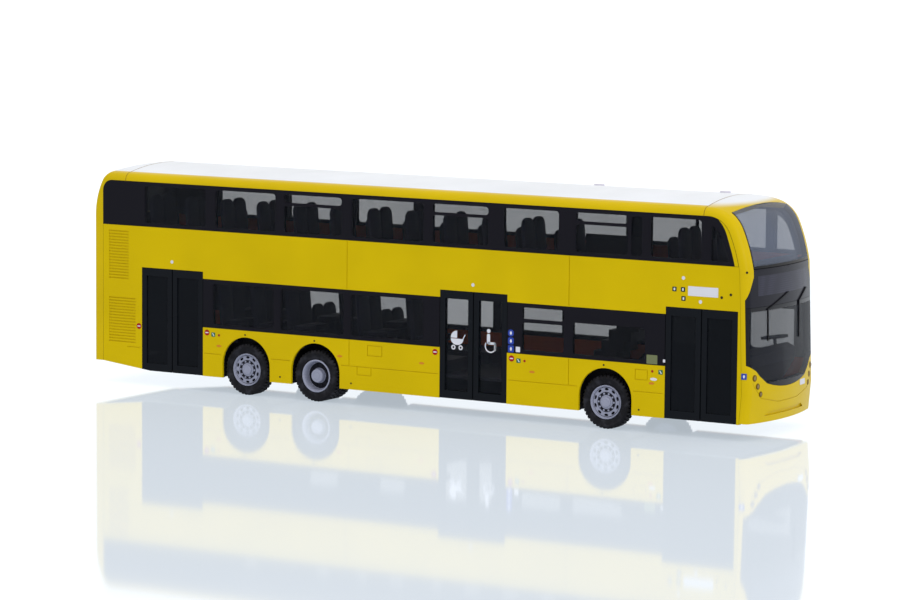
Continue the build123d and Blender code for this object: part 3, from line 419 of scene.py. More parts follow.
SCREEN_HIGH = Glazing("upper_windscreen", tint=(104, 112, 128), cover=0.44, clear_y=(-12.0, 12.0),
                      clear_z=(34.3, 45.45))
REAR_GLASS = Glazing("rear_window_glazing", tint=(16, 18, 24), cover=0.9)
DISPLAY = DisplayScreen("front_display_cover", (30, 30, 38), roughness=0.2)
REAR_DISPLAY = DisplayScreen("rear_display_cover", (24, 24, 30), roughness=0.2, field_y=(-5.4, 5.4),
                             field_z=(30.1, 31.9))
DOOR = Moulding("door_black_plastic", (17, 20, 25), roughness=0.26, specular=0.06)
PRINT = Moulding("window_print_black", (20, 19, 26), roughness=0.2, depth=0.002, specular=0.06)
GLOSS = Moulding("wiper_black", (20, 20, 24), roughness=0.28)
# The headlamps are the body's yellow darkened to brown: painted shade in their moulded hollows.
LENS = Moulding("headlamp_yellow_painted_shade", (124, 98, 34), roughness=0.2, specular=0.3)
RED_LENS = Moulding("tail_lamp_red", (150, 14, 16), roughness=0.14, coat=0.6)
RUBBER = TyreRubber("tyre_rubber", (21, 21, 25), roughness=0.6, grain=0.25, depth=0.012)
RIM = Moulding("wheel_grey_plastic", (146, 149, 168), roughness=0.34, drift=0.08, specular=0.3)
# Painted shade: dark colour for the wheels' recesses, which are the same grey plastic in shade.
RIM_PAINTED_SHADE = Moulding("rim_recess_painted_shade", (26, 27, 35), roughness=0.5)
STEEL = Moulding("axle_wire", (150, 152, 156), roughness=0.3, metallic=1.0)
WHITE_INK = ink("white_ink", (214, 214, 222))
RED_INK = ink("red_ink", (158, 26, 28))
GREEN_INK = ink("green_ink", (40, 104, 72))
BLUE_INK = ink("blue_ink", (44, 68, 160))
ORANGE_INK = ink("side_marker_orange", (204, 128, 40), 0.3)
DARK_INK = ink("dark_ink", (44, 36, 24))
SIGN_INK = ink("dark_green_ink", (30, 52, 46))
LABEL_INK = ink("grey_green_ink", (112, 118, 84))
# Painted shade: brown ink for the crescents of shade beside the headlamp hollows.
HEADLAMP_PAINTED_SHADE = ink("brown_hollow_painted_shade", (112, 86, 12), 0.5)


def rounded(low: Point, high: Point, radius: float, steps: int = 5) -> Loop:
    """Outline of a rectangle with rounded corners.

    Args:
        low: lower left corner.
        high: upper right corner.
        radius: corner radius.
        steps: straight pieces in each corner.

    Returns:
        The outline's points in order.
    """
    (left, bottom), (right, top) = low, high
    radius = min(radius, (right - left) / 2, (top - bottom) / 2)
    centres = [(right - radius, top - radius), (left + radius, top - radius),
               (left + radius, bottom + radius), (right - radius, bottom + radius)]
    loop = []
    for quarter, (u, v) in enumerate(centres):
        for step in range(steps + 1):
            turn = math.pi / 2 * (quarter + step / steps)
            loop.append((u + radius * math.cos(turn), v + radius * math.sin(turn)))
    return loop


def oval(centre: Point, half_u: float, half_v: float, steps: int = 24) -> Loop:
    """Outline of an oval or disc about a centre."""
    turns = [2 * math.pi * k / steps for k in range(steps)]
    return [(centre[0] + half_u * math.cos(t), centre[1] + half_v * math.sin(t)) for t in turns]


def linked(name: str, data: bpy.types.ID) -> bpy.types.Object:
    """A new object in the scene, at the origin."""
    made = bpy.data.objects.new(name, data)
    bpy.context.scene.collection.objects.link(made)
    return made


def shape_of(node: str) -> Mesh:
    """A copy of a CAD node's mesh."""
    shape = bmesh.new()
    shape.from_mesh(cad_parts[node].data)
    return shape


def filled(loops: Sequence[Loop], thickness: float, edge: float = 0.0) -> Mesh:
    """A flat piece whose inner loops are openings.

    Args:
        loops: outlines in millimetres, on the piece's own plane.
        thickness: full thickness, set evenly about the plane.
        edge: radius of a rounded edge, which adds to the outline.

    Returns:
        The closed mesh, in millimetres.
    """
    curve = bpy.data.curves.new("outline", "CURVE")
    curve.dimensions = "2D"
    curve.fill_mode = "BOTH"
    curve.extrude = thickness / 2 - edge
    curve.bevel_depth = edge
    curve.bevel_resolution = 2
    for loop in loops:
        spline = curve.splines.new("POLY")
        spline.points.add(len(loop) - 1)
        for point, (u, v) in zip(spline.points, loop):
            point.co = (u, v, 0.0, 1.0)
        spline.use_cyclic_u = True
    holder = linked("outline", curve)
    mesh = bpy.data.meshes.new_from_object(holder.evaluated_get(bpy.context.evaluated_depsgraph_get()))
    bpy.data.objects.remove(holder)
    bpy.data.curves.remove(curve)
    made = bmesh.new()
    made.from_mesh(mesh)
    bpy.data.meshes.remove(mesh)
    bmesh.ops.remove_doubles(made, verts=made.verts, dist=1e-4)
    bmesh.ops.recalc_face_normals(made, faces=made.faces)
    return made


def skinned(made: Mesh, rings: Sequence[Sequence[Any]], ring: bool) -> Mesh:
    """Lays faces over rows of points: joined last to first as a ring, or with a flat face at each end."""
    for low, high in zip(rings, rings[1:] + (rings[:1] if ring else [])):
        for k in range(len(low)):
            after = (k + 1) % len(low)
            made.faces.new((low[k], low[after], high[after], high[k]))
    if not ring:
        made.faces.new(rings[0])
        made.faces.new(rings[-1])
    bmesh.ops.recalc_face_normals(made, faces=made.faces)
    return made


def lathe(rows: Sequence[Point], turns: int, drop: Callable[[int, int], float] | None = None,
          ring: bool = True) -> Mesh:
    """A turned piece about its own third axis.

    Args:
        rows: (place along the axis, radius) of each row, in millimetres.
        turns: points round each row.
        drop: how far a point of a row is sunk, from the row's and the point's number.
        ring: True joins the last row to the first; False closes both ends with a flat face.

    Returns:
        The closed mesh, in millimetres.
    """
    made = bmesh.new()
    rings = []
    for index, (place, radius) in enumerate(rows):
        circle = []
        for k in range(turns):
            turn, reach = 2 * math.pi * k / turns, radius - (drop(index, k) if drop else 0.0)
            circle.append(made.verts.new((reach * math.cos(turn), reach * math.sin(turn), place)))
        rings.append(circle)
    return skinned(made, rings, ring)


def swept(sections: Sequence[Sequence[Vector]]) -> Mesh:
    """A closed piece through sections of equally many points, with a flat face at each end."""
    made = bmesh.new()
    return skinned(made, [[made.verts.new(point) for point in section] for section in sections], False)


def merged(parts: Sequence[Mesh]) -> Mesh:
    """All the meshes in one, with the given ones freed."""
    made = bmesh.new()
    for part in parts:
        holder = bpy.data.meshes.new("part")
        part.to_mesh(holder)
        part.free()
        made.from_mesh(holder)
        bpy.data.meshes.remove(holder)
    return made


def moved(part: Mesh, place: Matrix) -> Mesh:
    """The mesh after that placement."""
    bmesh.ops.transform(part, matrix=place, verts=part.verts)
    return part


def on_side(depth: float) -> Matrix:
    """Sets a flat piece drawn as (x, z) on the plane at that Y, its third axis pointing to -Y."""
    return Matrix(((1, 0, 0, 0), (0, 0, -1, depth), (0, 1, 0, 0), (0, 0, 0, 1)))


def on_front(depth: float) -> Matrix:
    """Sets a flat piece drawn as (y, z) on the plane at that X, its third axis pointing to +X."""
    return Matrix(((0, 0, 1, depth), (1, 0, 0, 0), (0, 1, 0, 0), (0, 0, 0, 1)))


def on_wheel(x: float, y: float, z: float, side: Side) -> Matrix:
    """Sets a turned piece on a wheel, its own axis pointing outwards from the bus."""
    out = side.value
    return Matrix(((-out, 0, 0, x), (0, 0, out, y), (0, 1, 0, z), (0, 0, 0, 1)))


def seated(node: str, start: Place, aim: Place) -> Matrix:
    """Sets a flat piece on a CAD node where a line meets it, its third axis along the surface's normal.

    Args:
        node: the CAD node.
        start: a place outside the node, in millimetres.
        aim: the line's direction.

    Returns:
        The placement.
    """
    shape = shape_of(node)
    place, out, _, _ = BVHTree.FromBMesh(shape).ray_cast(Vector(start) * MM, Vector(aim))
    shape.free()
    right = Vector((0, 0, 1)).cross(out).normalized()
    up = out.cross(right)
    rows = [(right[k], up[k], out[k], place[k] / MM) for k in range(3)]
    return Matrix((*rows, (0, 0, 0, 1)))


class Workshop:
    """Turns meshes into pieces of the bus and gives the CAD nodes their finish."""

    def __init__(self) -> None:
        """Starts with no finish made."""
        self.made: dict[str, bpy.types.Material] = {}

    def finish(self, finish: Any) -> bpy.types.Material:
        """The material of a finish, made once."""
        if finish.name not in self.made:
            self.made[finish.name] = finish.make()
        return self.made[finish.name]

    def dress(self, finish: Any, *nodes: str) -> None:
        """Gives CAD nodes a finish.

        Args:
            finish: the finish.
            nodes: names of the CAD nodes.
        """
        for node in nodes:
            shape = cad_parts[node]
            shape.data.materials.clear()
            shape.data.materials.append(self.finish(finish))
            LOG.info("dressed %s in %s", node, finish.name)

    def add(self, name: str, part: Mesh, finish: Any, slot: str, body: str = "bus",
            smooth: float | None = None, stands_for: Sequence[str] = ()) -> None:
        """Makes a piece of the bus from a mesh.

        Args:
            name: the piece's name.
            part: its mesh in millimetres, in place; it is freed.
            finish: its finish.
            slot: the name of a material slot; not used.
            body: the CAD body that it rides on.
            smooth: the angle in degrees up to which edges are shaded smooth.
            stands_for: CAD nodes that it replaces.
        """
        bmesh.ops.scale(part, vec=(MM, MM, MM), verts=part.verts)
        mesh = bpy.data.meshes.new(name)
        part.to_mesh(mesh)
        part.free()
        if smooth is not None:
            mesh.polygons.foreach_set("use_smooth", [True] * len(mesh.polygons))
            mesh.set_sharp_from_angle(angle=math.radians(smooth))
        mesh.materials.append(self.finish(finish))
        piece = linked(name, mesh)
        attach(piece, body)
        if stands_for:
            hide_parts(*stands_for)
        LOG.info("added %s, %d faces", name, len(mesh.polygons))


def outer_outline(node: str, side: Side) -> Loop:
    """Outline of the flat outer face of a CAD node on one side of the bus.

    Args:
        node: the CAD node.
        side: the side that the face looks to.

    Returns:
        (x, z) points in millimetres, in order.
    """
    low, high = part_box(node)
    depth = low.y if side is Side.DOORS else high.y
    shape = shape_of(node)
    bmesh.ops.remove_doubles(shape, verts=shape.verts, dist=1e-6)
    outer = {f for f in shape.faces if all(abs(v.co.y - depth) < 2e-6 for v in f.verts)}
    rim = [e for e in shape.edges if sum(f in outer for f in e.link_faces) == 1]
    links: dict[Any, list[Any]] = {}
    for edge in rim:
        first, second = edge.verts
        links.setdefault(first, []).append(second)
        links.setdefault(second, []).append(first)
    start = min(links, key=lambda v: (v.co.x, v.co.z))
    walk, before = [start], None
    while len(walk) <= len(links):
        following = next(v for v in links[walk[-1]] if v is not before)
        if following is start:
            break
        before = walk[-1]
        walk.append(following)
    loop = [(v.co.x / MM, v.co.z / MM) for v in walk]
    shape.free()
    return loop


@dataclass
class SideWindows:
    """The black prints on the side glazing: frames, posts and vent bars round the clear panes."""

    shop: Workshop
    face: float = 14.65
    film: float = 0.03
    corner: float = 0.7
    upper_z: Point = (35.15, 43.04)
    vent_z: Point = (40.7, 41.35)
    lower_z: Point = (14.55, 23.2)
    lower_vent_z: Point = (20.16, 20.93)
    upper_panes: tuple[tuple[float, float, bool], ...] = (
        (-66.2, -50.6, False), (-48.0, -32.9, False), (-30.7, -16.5, True), (-14.0, 3.3, False),
        (5.5, 18.6, True), (22.3, 34.9, False), (38.8, 50.5, True), (51.3, 53.7, False),
        (55.7, 66.8, False))
    quarter_from: float = 69.0
    rim: float = 1.9
    lap: float = 0.85
    lower_rear: tuple[Point, ...] = ((-48.6, -33.3), (-31.5, -15.9), (-14.1, 3.4))
    lower_front: tuple[Point, ...] = ((26.7, 36.3), (38.4, 54.7))
    lower_driver: tuple[Point, ...] = ((5.5, 20.1), (22.3, 36.3), (38.4, 54.7))
    display_z: float = 20.9
    cab_pane: tuple[Point, Point, float] = ((63.5, 14.8), (73.5, 23.2), 0.9)

    def upper_holes(self, outline: Loop) -> list[Loop]:
        """Clear panes of an upper side window.

        Args:
            outline: the glazing's own outline, whose front end the quarter pane follows.

        Returns:
            One loop for each clear area.
        """
        holes = []
        for left, right, vent in self.upper_panes:
            holes += self.panes([(left, right)], self.upper_z, self.vent_z if vent else None)
        return holes + [self.quarter(outline)]

    def panes(self, spans: Sequence[Point], level: Point, bar: Point | None = None) -> list[Loop]:
        """Outlines of clear panes.

        Args:
            spans: both ends of each pane along the bus.
            level: bottom and top of the panes.
            bar: bottom and top of a vent bar that divides them.

        Returns:
            One loop for each clear area.
        """
        levels = [(level[0], bar[0]), (bar[1], level[1])] if bar else [level]
        return [rounded((left, low), (right, high), self.corner)
                for left, right in spans for low, high in levels]

    def front_edge(self, outline: Loop, inset: float, levels: Sequence[float]) -> Loop:
        """The glazing's curved front end, drawn in.

        Args:
            outline: the glazing's own outline.
            inset: how far it is drawn in, in millimetres.
            levels: heights of the wanted points.

        Returns:
            A point at each height that the curve reaches.
        """
        curve = sorted((p for p in outline if p[0] > self.quarter_from - 2.0), key=lambda p: p[1])
        edge = []
        for level in levels:
            reach = level + 0.6 * inset
            for (x0, z0), (x1, z1) in zip(curve, curve[1:]):
                if z0 <= reach < z1:
                    edge.append((x0 + (x1 - x0) * (reach - z0) / (z1 - z0) - 0.8 * inset, level))
        return edge

    def quarter(self, outline: Loop) -> Loop:
        """Outline of the clear pane at the front, which follows the glazing's curved end."""
        bottom, top = self.upper_z
        edge = self.front_edge(outline, self.rim, [bottom + (top - bottom) * k / 20 for k in range(21)])
        kept = [(x, z) for x, z in edge if x > self.quarter_from + 0.2]
        return [(self.quarter_from, bottom), *kept, (self.quarter_from, kept[-1][1])]

    def painted_edge(self, outline: Loop) -> Loop:
        """Outline of the body colour that laps over the glazing's front end."""
        low, high = min(z for _, z in outline), max(z for _, z in outline)
        levels = [low + 0.001 + (high - low - 0.56) * k / 24 for k in range(25)]
        outer = self.front_edge(outline, 0.0, levels)
        inner = self.front_edge(outline, self.lap, levels)
        return outer + [(x0 + (x1 - x0) * (1.0 - (k / 24) ** 4), z)
                        for k, ((x0, z), (x1, _)) in reversed(list(enumerate(zip(outer, inner)))) if k < 24]

    def build(self) -> None:
        """Prints on both sides, upper and lower."""
        for side, name in ((Side.DOORS, "right"), (Side.DRIVER, "left")):
            node = f"upper_glazing_{name}"
            outline = outer_outline(node, side)
            self.sheet(f"upper_window_print_{name}", [outline] + self.upper_holes(outline), side)
            lap = filled([self.painted_edge(outline)], self.film)
            place = on_side(side.value * (self.face + 1.5 * self.film))
            self.shop.add(f"painted_window_edge_{name}", moved(lap, place), YELLOW_PRINT, "body_yellow")
        rear = self.panes(self.lower_rear, self.lower_z)
        vented, shown = self.lower_front
        ahead = self.panes([vented], self.lower_z, self.lower_vent_z)
        ahead += self.panes([shown], (self.lower_z[0], self.display_z))
        far = rear + self.panes(self.lower_driver, self.lower_z)
        for node, side, holes in (("lower_glazing_right_rear", Side.DOORS, rear),
                                  ("lower_glazing_right_front", Side.DOORS, ahead),
                                  ("lower_glazing_left", Side.DRIVER, far)):
            loops = [outer_outline(node, side)] + holes
            self.sheet(node.replace("glazing", "window_print"), loops, side)
        cab = [outer_outline("driver_window", Side.DRIVER), rounded(*self.cab_pane)]
        self.sheet("driver_window_print", cab, Side.DRIVER)
        self.shop.dress(GLASS, "upper_glazing_right", "upper_glazing_left", "lower_glazing_right_rear",
                        "lower_glazing_right_front", "lower_glazing_left", "driver_window")

    def sheet(self, name: str, loops: Sequence[Loop], side: Side) -> None:
        """One printed film on a side.

        Args:
            name: the piece's name.
            loops: outline and openings as (x, z).
            side: the side that it lies on.
        """
        depth = side.value * (self.face + self.film / 2)
        self.shop.add(name, moved(filled(loops, self.film), on_side(depth)), PRINT, "gloss_black")


@dataclass
class Wheels:
    """Tyres with cut treads and the two kinds of wheel, on the three axles."""

    shop: Workshop
    axles: tuple[tuple[str, float, WheelKind], ...] = (
        ("front", 45.85, WheelKind.FLAT), ("drive", -22.8, WheelKind.DEEP), ("tag", -40.2, WheelKind.FLAT))
    centre_z: float = 5.4
    face: float = 14.45
    radius: float = 5.4
    width: float = 3.1
    bore: float = 3.45
    lugs: int = 40
    twin_face: float = 11.0
    nuts: int = 10
    nut_circle: float = 1.72
    holes: int = 10
    hole_circle: float = 2.6

    def tyre(self) -> Mesh:
        """A tyre with two grooves round it, staggered lugs and a raised line on each wall.

        Returns:
            The mesh with its outer face at the plane of the wheel.
        """
        top, low = self.radius, self.radius - 0.2
        half = [(-0.42, self.bore), (-0.16, self.bore + 0.12), (-0.05, 3.9), (0.0, 4.2), (0.0, 4.62),
                (0.03, 4.66), (0.03, 4.78), (-0.02, 4.82), (-0.12, 5.06), (-0.3, top - 0.12),
                (-0.4, top), (-0.95, top), (-1.0, low), (-1.16, low), (-1.21, top)]
        rows = half + [(-self.width - place, radius) for place, radius in reversed(half)]
        depth = {8: 0.06, 9: 0.26, 10: 0.3, 11: 0.3, 14: 0.22}
        last = len(rows) - 1

        def cut(row: int, point: int) -> float:
            """How deep the tread is cut at a point of a row."""
            near = min(row, last - row)
            shift = 2 if near == 14 else 0
            shift += 1 if row > last / 2 else 0
            return depth.get(near, 0.0) if (point + shift) % 4 == 0 else 0.0

        return lathe(rows, self.lugs * 4, cut)

    def flat_wheel(self) -> list[tuple[str, Mesh, Moulding]]:
        """A wheel with a thin lip, a ring of hand holes, nuts and a cap, and two dark sheets of painted
        shade: one on the channel floor behind the holes and one round the nuts.

        Returns:
            Name, mesh and finish of each of its pieces.
        """
        rows = [(-2.6, 3.44), (-0.3, 3.44), (-0.1, 3.42), (-0.02, 3.36), (-0.02, 3.26), (-0.12, 3.2),
                (-0.42, 3.12), (-0.5, 3.04), (-1.2, 3.02), (-1.2, 2.1), (-0.6, 2.08), (-0.6, 2.0),
                (-0.56, 1.9), (-0.54, 1.45), (-0.4, 1.36), (-0.4, 0.76), (-2.6, 0.76)]
        body = lathe(rows, 64)
        ovals = [oval((self.hole_circle, 0), 0.27, 0.46, 16)] * self.holes
        loops = [oval((0, 0), 2.93, 2.93, 72), oval((0, 0), 2.07, 2.07, 72)]
        for k, loop in enumerate(ovals):
            turn = 2 * math.pi * (k + 0.5) / self.holes
            loops.append([(u * math.cos(turn) - v * math.sin(turn), u * math.sin(turn) + v * math.cos(turn))
                          for u, v in loop])
        disc = moved(filled(loops, 0.2), Matrix.Translation((0, 0, -0.56)))
        # Painted shade: a dark sheet on the channel floor seen through the holes.
        floor = moved(filled([oval((0, 0), 3.0, 3.0, 48), oval((0, 0), 2.12, 2.12, 48)], 0.04),
                      Matrix.Translation((0, 0, -1.16)))
        cap = lathe([(-0.8, 1.02), (-0.2, 1.02), (-0.12, 0.96), (-0.08, 0.82), (-0.08, 0.7), (-0.12, 0.66),
                     (-0.1, 0.3)], 40, ring=False)
        # Painted shade: a dark ring round the nuts.
        painted_shade_ring = moved(filled([oval((0, 0), 1.98, 1.98, 48), oval((0, 0), 1.46, 1.46, 48)], 0.04),
                       Matrix.Translation((0, 0, -0.51)))
        return [("wheel", merged([body, disc, cap, self.nut_ring(-0.5)]), RIM),
                ("wheel_painted_shade", merged([floor, painted_shade_ring]), RIM_PAINTED_SHADE)]

    def deep_wheel(self) -> list[tuple[str, Mesh, Moulding]]:
        """A deeply dished wheel with a wide lip and a hub that stands out; its dish floor and the nuts in it
        are painted dark as shade.

        Returns:
            Name, mesh and finish of each of its pieces.
        """
        rows = [(-2.6, 3.44), (-0.3, 3.44), (-0.1, 3.42), (-0.04, 3.34), (-0.04, 3.22), (-0.12, 3.12),
                (-0.5, 3.0), (-1.5, 2.86), (-1.7, 2.8), (-1.75, 2.7), (-1.75, 0.76), (-2.6, 0.76)]
        body = lathe(rows, 64)
        # Painted shade: the dish floor is dark where the grey plastic lies in shade.
        floor = lathe([(-1.72, 2.72), (-1.6, 2.5), (-1.5, 1.6), (-1.5, 1.3), (-1.74, 1.3), (-1.74, 2.72)], 48)
        hub = lathe([(-1.74, 1.6), (-1.3, 1.6), (-1.24, 1.5), (-0.6, 1.42), (-0.4, 1.36), (-0.32, 1.26),
                     (-0.32, 0.9), (-0.38, 0.86), (-0.38, 0.7), (-0.34, 0.66), (-0.34, 0.3)], 40, ring=False)
        # Painted shade: the nuts in the dish take the dark recess colour.
        nuts = self.nut_ring(-1.52, 2.05)
        return [("wheel", merged([body, hub]), RIM), ("wheel_painted_shade", merged([floor, nuts]), RIM_PAINTED_SHADE)]

    def nut_ring(self, place: float, circle: float | None = None) -> Mesh:
        """A ring of wheel nuts.

        Args:
            place: where their feet sit along the wheel's axis.
            circle: radius of the ring.

        Returns:
            The nuts as one mesh.
        """
        circle = circle or self.nut_circle
        nuts = []
        for k in range(self.nuts):
            turn = 2 * math.pi * k / self.nuts
            nut = lathe([(place - 0.03, 0.22), (place + 0.14, 0.22), (place + 0.22, 0.14)], 6, ring=False)
            nuts.append(moved(nut, Matrix.Translation((circle * math.cos(turn), circle * math.sin(turn), 0))))
        return merged(nuts)

    def build(self) -> None:
        """Every wheel of every axle, each riding on its axle's body."""
        for axle, x, kind in self.axles:
            body = f"{axle}_axle_set"
            for side, name in ((Side.DOORS, "right"), (Side.DRIVER, "left")):
                plural = "s" if kind is WheelKind.DEEP else ""
                place = on_wheel(x, side.value * self.face, self.centre_z, side)
                tyres = [moved(self.tyre(), place)]
                if kind is WheelKind.DEEP:
                    inner = on_wheel(x, side.value * self.twin_face, self.centre_z, side)
                    tyres.append(moved(self.tyre(), inner))
                node = f"tyre{plural}_{axle}_{name}"
                self.shop.add(f"treaded_{node}", merged(tyres), RUBBER, "tyre_rubber", body, 40, [node])
                made = self.deep_wheel() if kind is WheelKind.DEEP else self.flat_wheel()
                for part, shape, finish in made:
                    stands_for = [f"rim{plural}_{axle}_{name}"] if part == "wheel" else []
                    self.shop.add(f"{part}_{axle}_{name}", moved(shape, place), finish, "rim_grey", body, 35,
                                  stands_for)
            self.shop.dress(STEEL, f"{axle}_axle")


@dataclass
class Interior:
    """Seats with rounded backs on both decks, and the plain mouldings round them."""

    shop: Workshop
    seat_width: float = 4.5
    seat_gap: float = 0.25
    back: float = 0.9
    cushion_depth: float = 4.6
    cushion_top: float = 4.6
    cushion: float = 1.3
    tuck: float = 0.8

    def pairs(self, node: str) -> list[tuple[Vector, Vector]]:
        """Boxes of the seat pairs in a CAD node.

        Args:
            node: the CAD node.

        Returns:
            Lowest and highest corner of each pair, in millimetres.
        """
        shape = shape_of(node)
        bmesh.ops.remove_doubles(shape, verts=shape.verts, dist=1e-6)
        left, found = set(shape.verts), []
        while left:
            front = [min(left, key=lambda v: v.index)]
            left.discard(front[0])
            part = []
            while front:
                vert = front.pop()
                part.append(vert.co / MM)
                near = [e.other_vert(vert) for e in vert.link_edges]
                front += [v for v in near if v in left]
                left.difference_update(near)
            corners = [Vector(pick(p[k] for p in part) for k in range(3)) for pick in (min, max)]
            found.append((corners[0], corners[1]))
        shape.free()
        return found

    def seat(self, low: Vector, high: Vector, middle: float) -> list[Mesh]:
        """One seat of a pair.

        Args:
            low: lowest corner of the pair.
            high: highest corner of the pair.
            middle: Y of the seat's middle.

        Returns:
            Backrest, cushion and foot.
        """
        half = (self.seat_width - self.seat_gap) / 2
        front, height = high.x, high.z - low.z
        foot = front - self.cushion_depth + self.tuck
        rake = math.asin(max(0.0, foot - self.back - low.x - 0.2) / height)
        edge = 0.28
        outline = rounded((-half + edge, 1.2), (half - edge, height - edge), 1.45, 8)
        back = filled([outline], self.back, edge)
        lean = Matrix.Translation((foot - self.back / 2, middle, low.z)) @ Matrix.Rotation(-rake, 4, "Y")
        back = moved(back, lean @ on_front(0))
        rest = rounded((foot - 0.2 + edge, -half + edge), (front - edge, half - edge), 0.8, 6)
        cushion = filled([rest], self.cushion, edge)
        moved(cushion, Matrix.Translation((0, middle, low.z + self.cushion_top - self.cushion / 2)))
        leg = rounded((foot + 0.3, -half + 0.5), (front - 0.9, half - 0.5), 0.4, 4)
        height = self.cushion_top - 1.1
        stand = moved(filled([leg], height), Matrix.Translation((0, middle, low.z + height / 2)))
        return [back, cushion, stand]

    def build(self) -> None:
        """Seats of both decks, then the finish of the inner mouldings."""
        for deck in ("upper", "lower"):
            parts = []
            for low, high in self.pairs(f"{deck}_seats"):
                middle = (low.y + high.y) / 2
                for way in (-1, 1):
                    parts += self.seat(low, high, middle + way * self.seat_width / 2)
            self.shop.add(f"{deck}_deck_seats", merged(parts), SEATS, "seat_blue", smooth=40,
                          stands_for=[f"{deck}_seats"])
        self.shop.dress(SEATS, "driver_seat")
        self.shop.dress(CABIN, "upper_floor", "lower_floor", "staircase", "dashboard", "steering_wheel")


@dataclass
class Shell:
    """Body panels, roof, chassis, lamps and the glazing of the two ends."""

    shop: Workshop
    seams: tuple[float, ...] = (-71.33, 67.22)
    seam_half: Point = (0.07, 0.012)
    crown: float = 62.0
    crest: float = 47.0
    corner: float = 1.7
    corner_at: Point = (12.95, 43.893)
    corner_turn: float = 12.4

    def seam(self, x: float) -> Mesh:
        """The shadow line of a roof seam, laid over the roof's curve and down its two corners.

        Args:
            x: where the seam runs across.

        Returns:
            A thin strip.
        """
        wide, tall = self.seam_half
        (y, z), turn = self.corner_at, self.corner_turn
        bends = [(-y, z, self.corner, -90.0, -turn, 8),
                 (0.0, self.crest - self.crown, self.crown, -turn, turn, 24),
                 (y, z, self.corner, turn, 90.0, 8)]
        corners = ((-wide, -tall), (wide, -tall), (wide, tall), (-wide, tall))
        sections = []
        for y, z, radius, first, last, steps in bends:
            for k in range(steps + 1):
                turn = math.radians(first + (last - first) * k / steps)
                across, up = math.sin(turn), math.cos(turn)
                if k or not sections:
                    sections.append([Vector((x + u, y + across * (radius + v), z + up * (radius + v)))
                                     for u, v in corners])
        return swept(sections)

    def build(self) -> None:
        """Gives every outer CAD node its finish and draws the roof seams."""
        self.shop.dress(YELLOW, "side_panel_right", "side_panel_left")
        for finish, node in ((FRONT_END, "front_panel"), (REAR_END, "rear_panel"), (ROOF, "roof_panel"),
                             (AERIAL, "roof_aerials"), (BLACK, "chassis_plate"),
                             (SCREEN_HIGH, "windscreen_upper"), (SCREEN_LOW, "windscreen_lower"),
                             (DISPLAY, "front_display"),
                             (REAR_GLASS, "rear_window"), (REAR_DISPLAY, "rear_display"), (GLOSS, "wipers"),
                             (LENS, "headlamps"), (RED_LENS, "tail_lamps")):
            self.shop.dress(finish, node)
        self.shop.add("roof_seam_lines", merged([self.seam(x) for x in self.seams]), SEAM, "roof_white")


@dataclass
class Doors:
    """The three double doors and the pictograms on the middle one."""

    shop: Workshop
    glass: float = 14.4
    film: float = 0.02
    pram: Point = (11.36, 15.86)
    chair: Point = (19.14, 15.8)

    def pram_shapes(self) -> list[list[Loop]]:
        """A plain pram: hood, tub, push bar and two wheels."""
        u, v = self.pram
        quarter = [(math.cos(math.pi / 2 * k / 8), math.sin(math.pi / 2 * k / 8)) for k in range(9)]
        hood = [(u, v)] + [(u - 1.5 * a, v + 1.5 * b) for a, b in quarter]
        turns = [math.pi * (k / 12 - 0.5) for k in range(1, 12)]
        bowl = [(u + 1.5 * math.sin(t), v - 0.15 - 1.3 * math.cos(t)) for t in turns]
        tub = [(u - 1.5, v - 0.15), *bowl, (u + 1.5, v - 0.15)]
        bar = [(u + 1.3, v - 0.15), (u + 1.5, v - 0.15), (u + 2.0, v + 0.75), (u + 1.8, v + 0.8)]
        wheels = [[oval((u + way, v - 1.95), half, half) for half in (0.5, 0.24)] for way in (-0.85, 0.85)]
        return [[hood], [tub], [bar]] + wheels

    def chair_shapes(self) -> list[list[Loop]]:
        """A plain wheelchair sign: head, trunk, legs and a wheel."""
        u, v = self.chair
        arc = [math.radians(a) for a in range(150, 391, 15)]
        centre = (u + 0.1, v - 1.1)
        wheel = [(centre[0] + 1.35 * math.cos(a), centre[1] + 1.35 * math.sin(a)) for a in arc]
        wheel += [(centre[0] + 1.1 * math.cos(a), centre[1] + 1.1 * math.sin(a)) for a in reversed(arc)]
        head = oval((u - 0.35, v + 2.0), 0.42, 0.42)
        trunk = rounded((u - 0.75, v - 0.6), (u + 0.0, v + 1.4), 0.25)
        thigh = rounded((u - 0.5, v - 0.75), (u + 1.25, v - 0.25), 0.2)
        shin = rounded((u + 0.95, v - 2.0), (u + 1.4, v - 0.35), 0.2)
        return [[wheel], [head], [trunk], [thigh], [shin]]

    def build(self) -> None:
        """Finish of the doors and the two pictograms."""
        self.shop.dress(DOOR, "door_rear", "door_middle", "door_front")
        self.shop.dress(DARK_GLASS, "door_glass_rear", "door_glass_front")
        self.shop.dress(DOOR_GLASS, "door_glass_middle")
        place = on_side(-self.glass - self.film / 2)
        for name, shapes in (("pram_sign", self.pram_shapes()), ("wheelchair_sign", self.chair_shapes())):
            parts = [moved(filled(loops, self.film), place) for loops in shapes]
            self.shop.add(name, merged(parts), WHITE_INK, "lamp_clear")


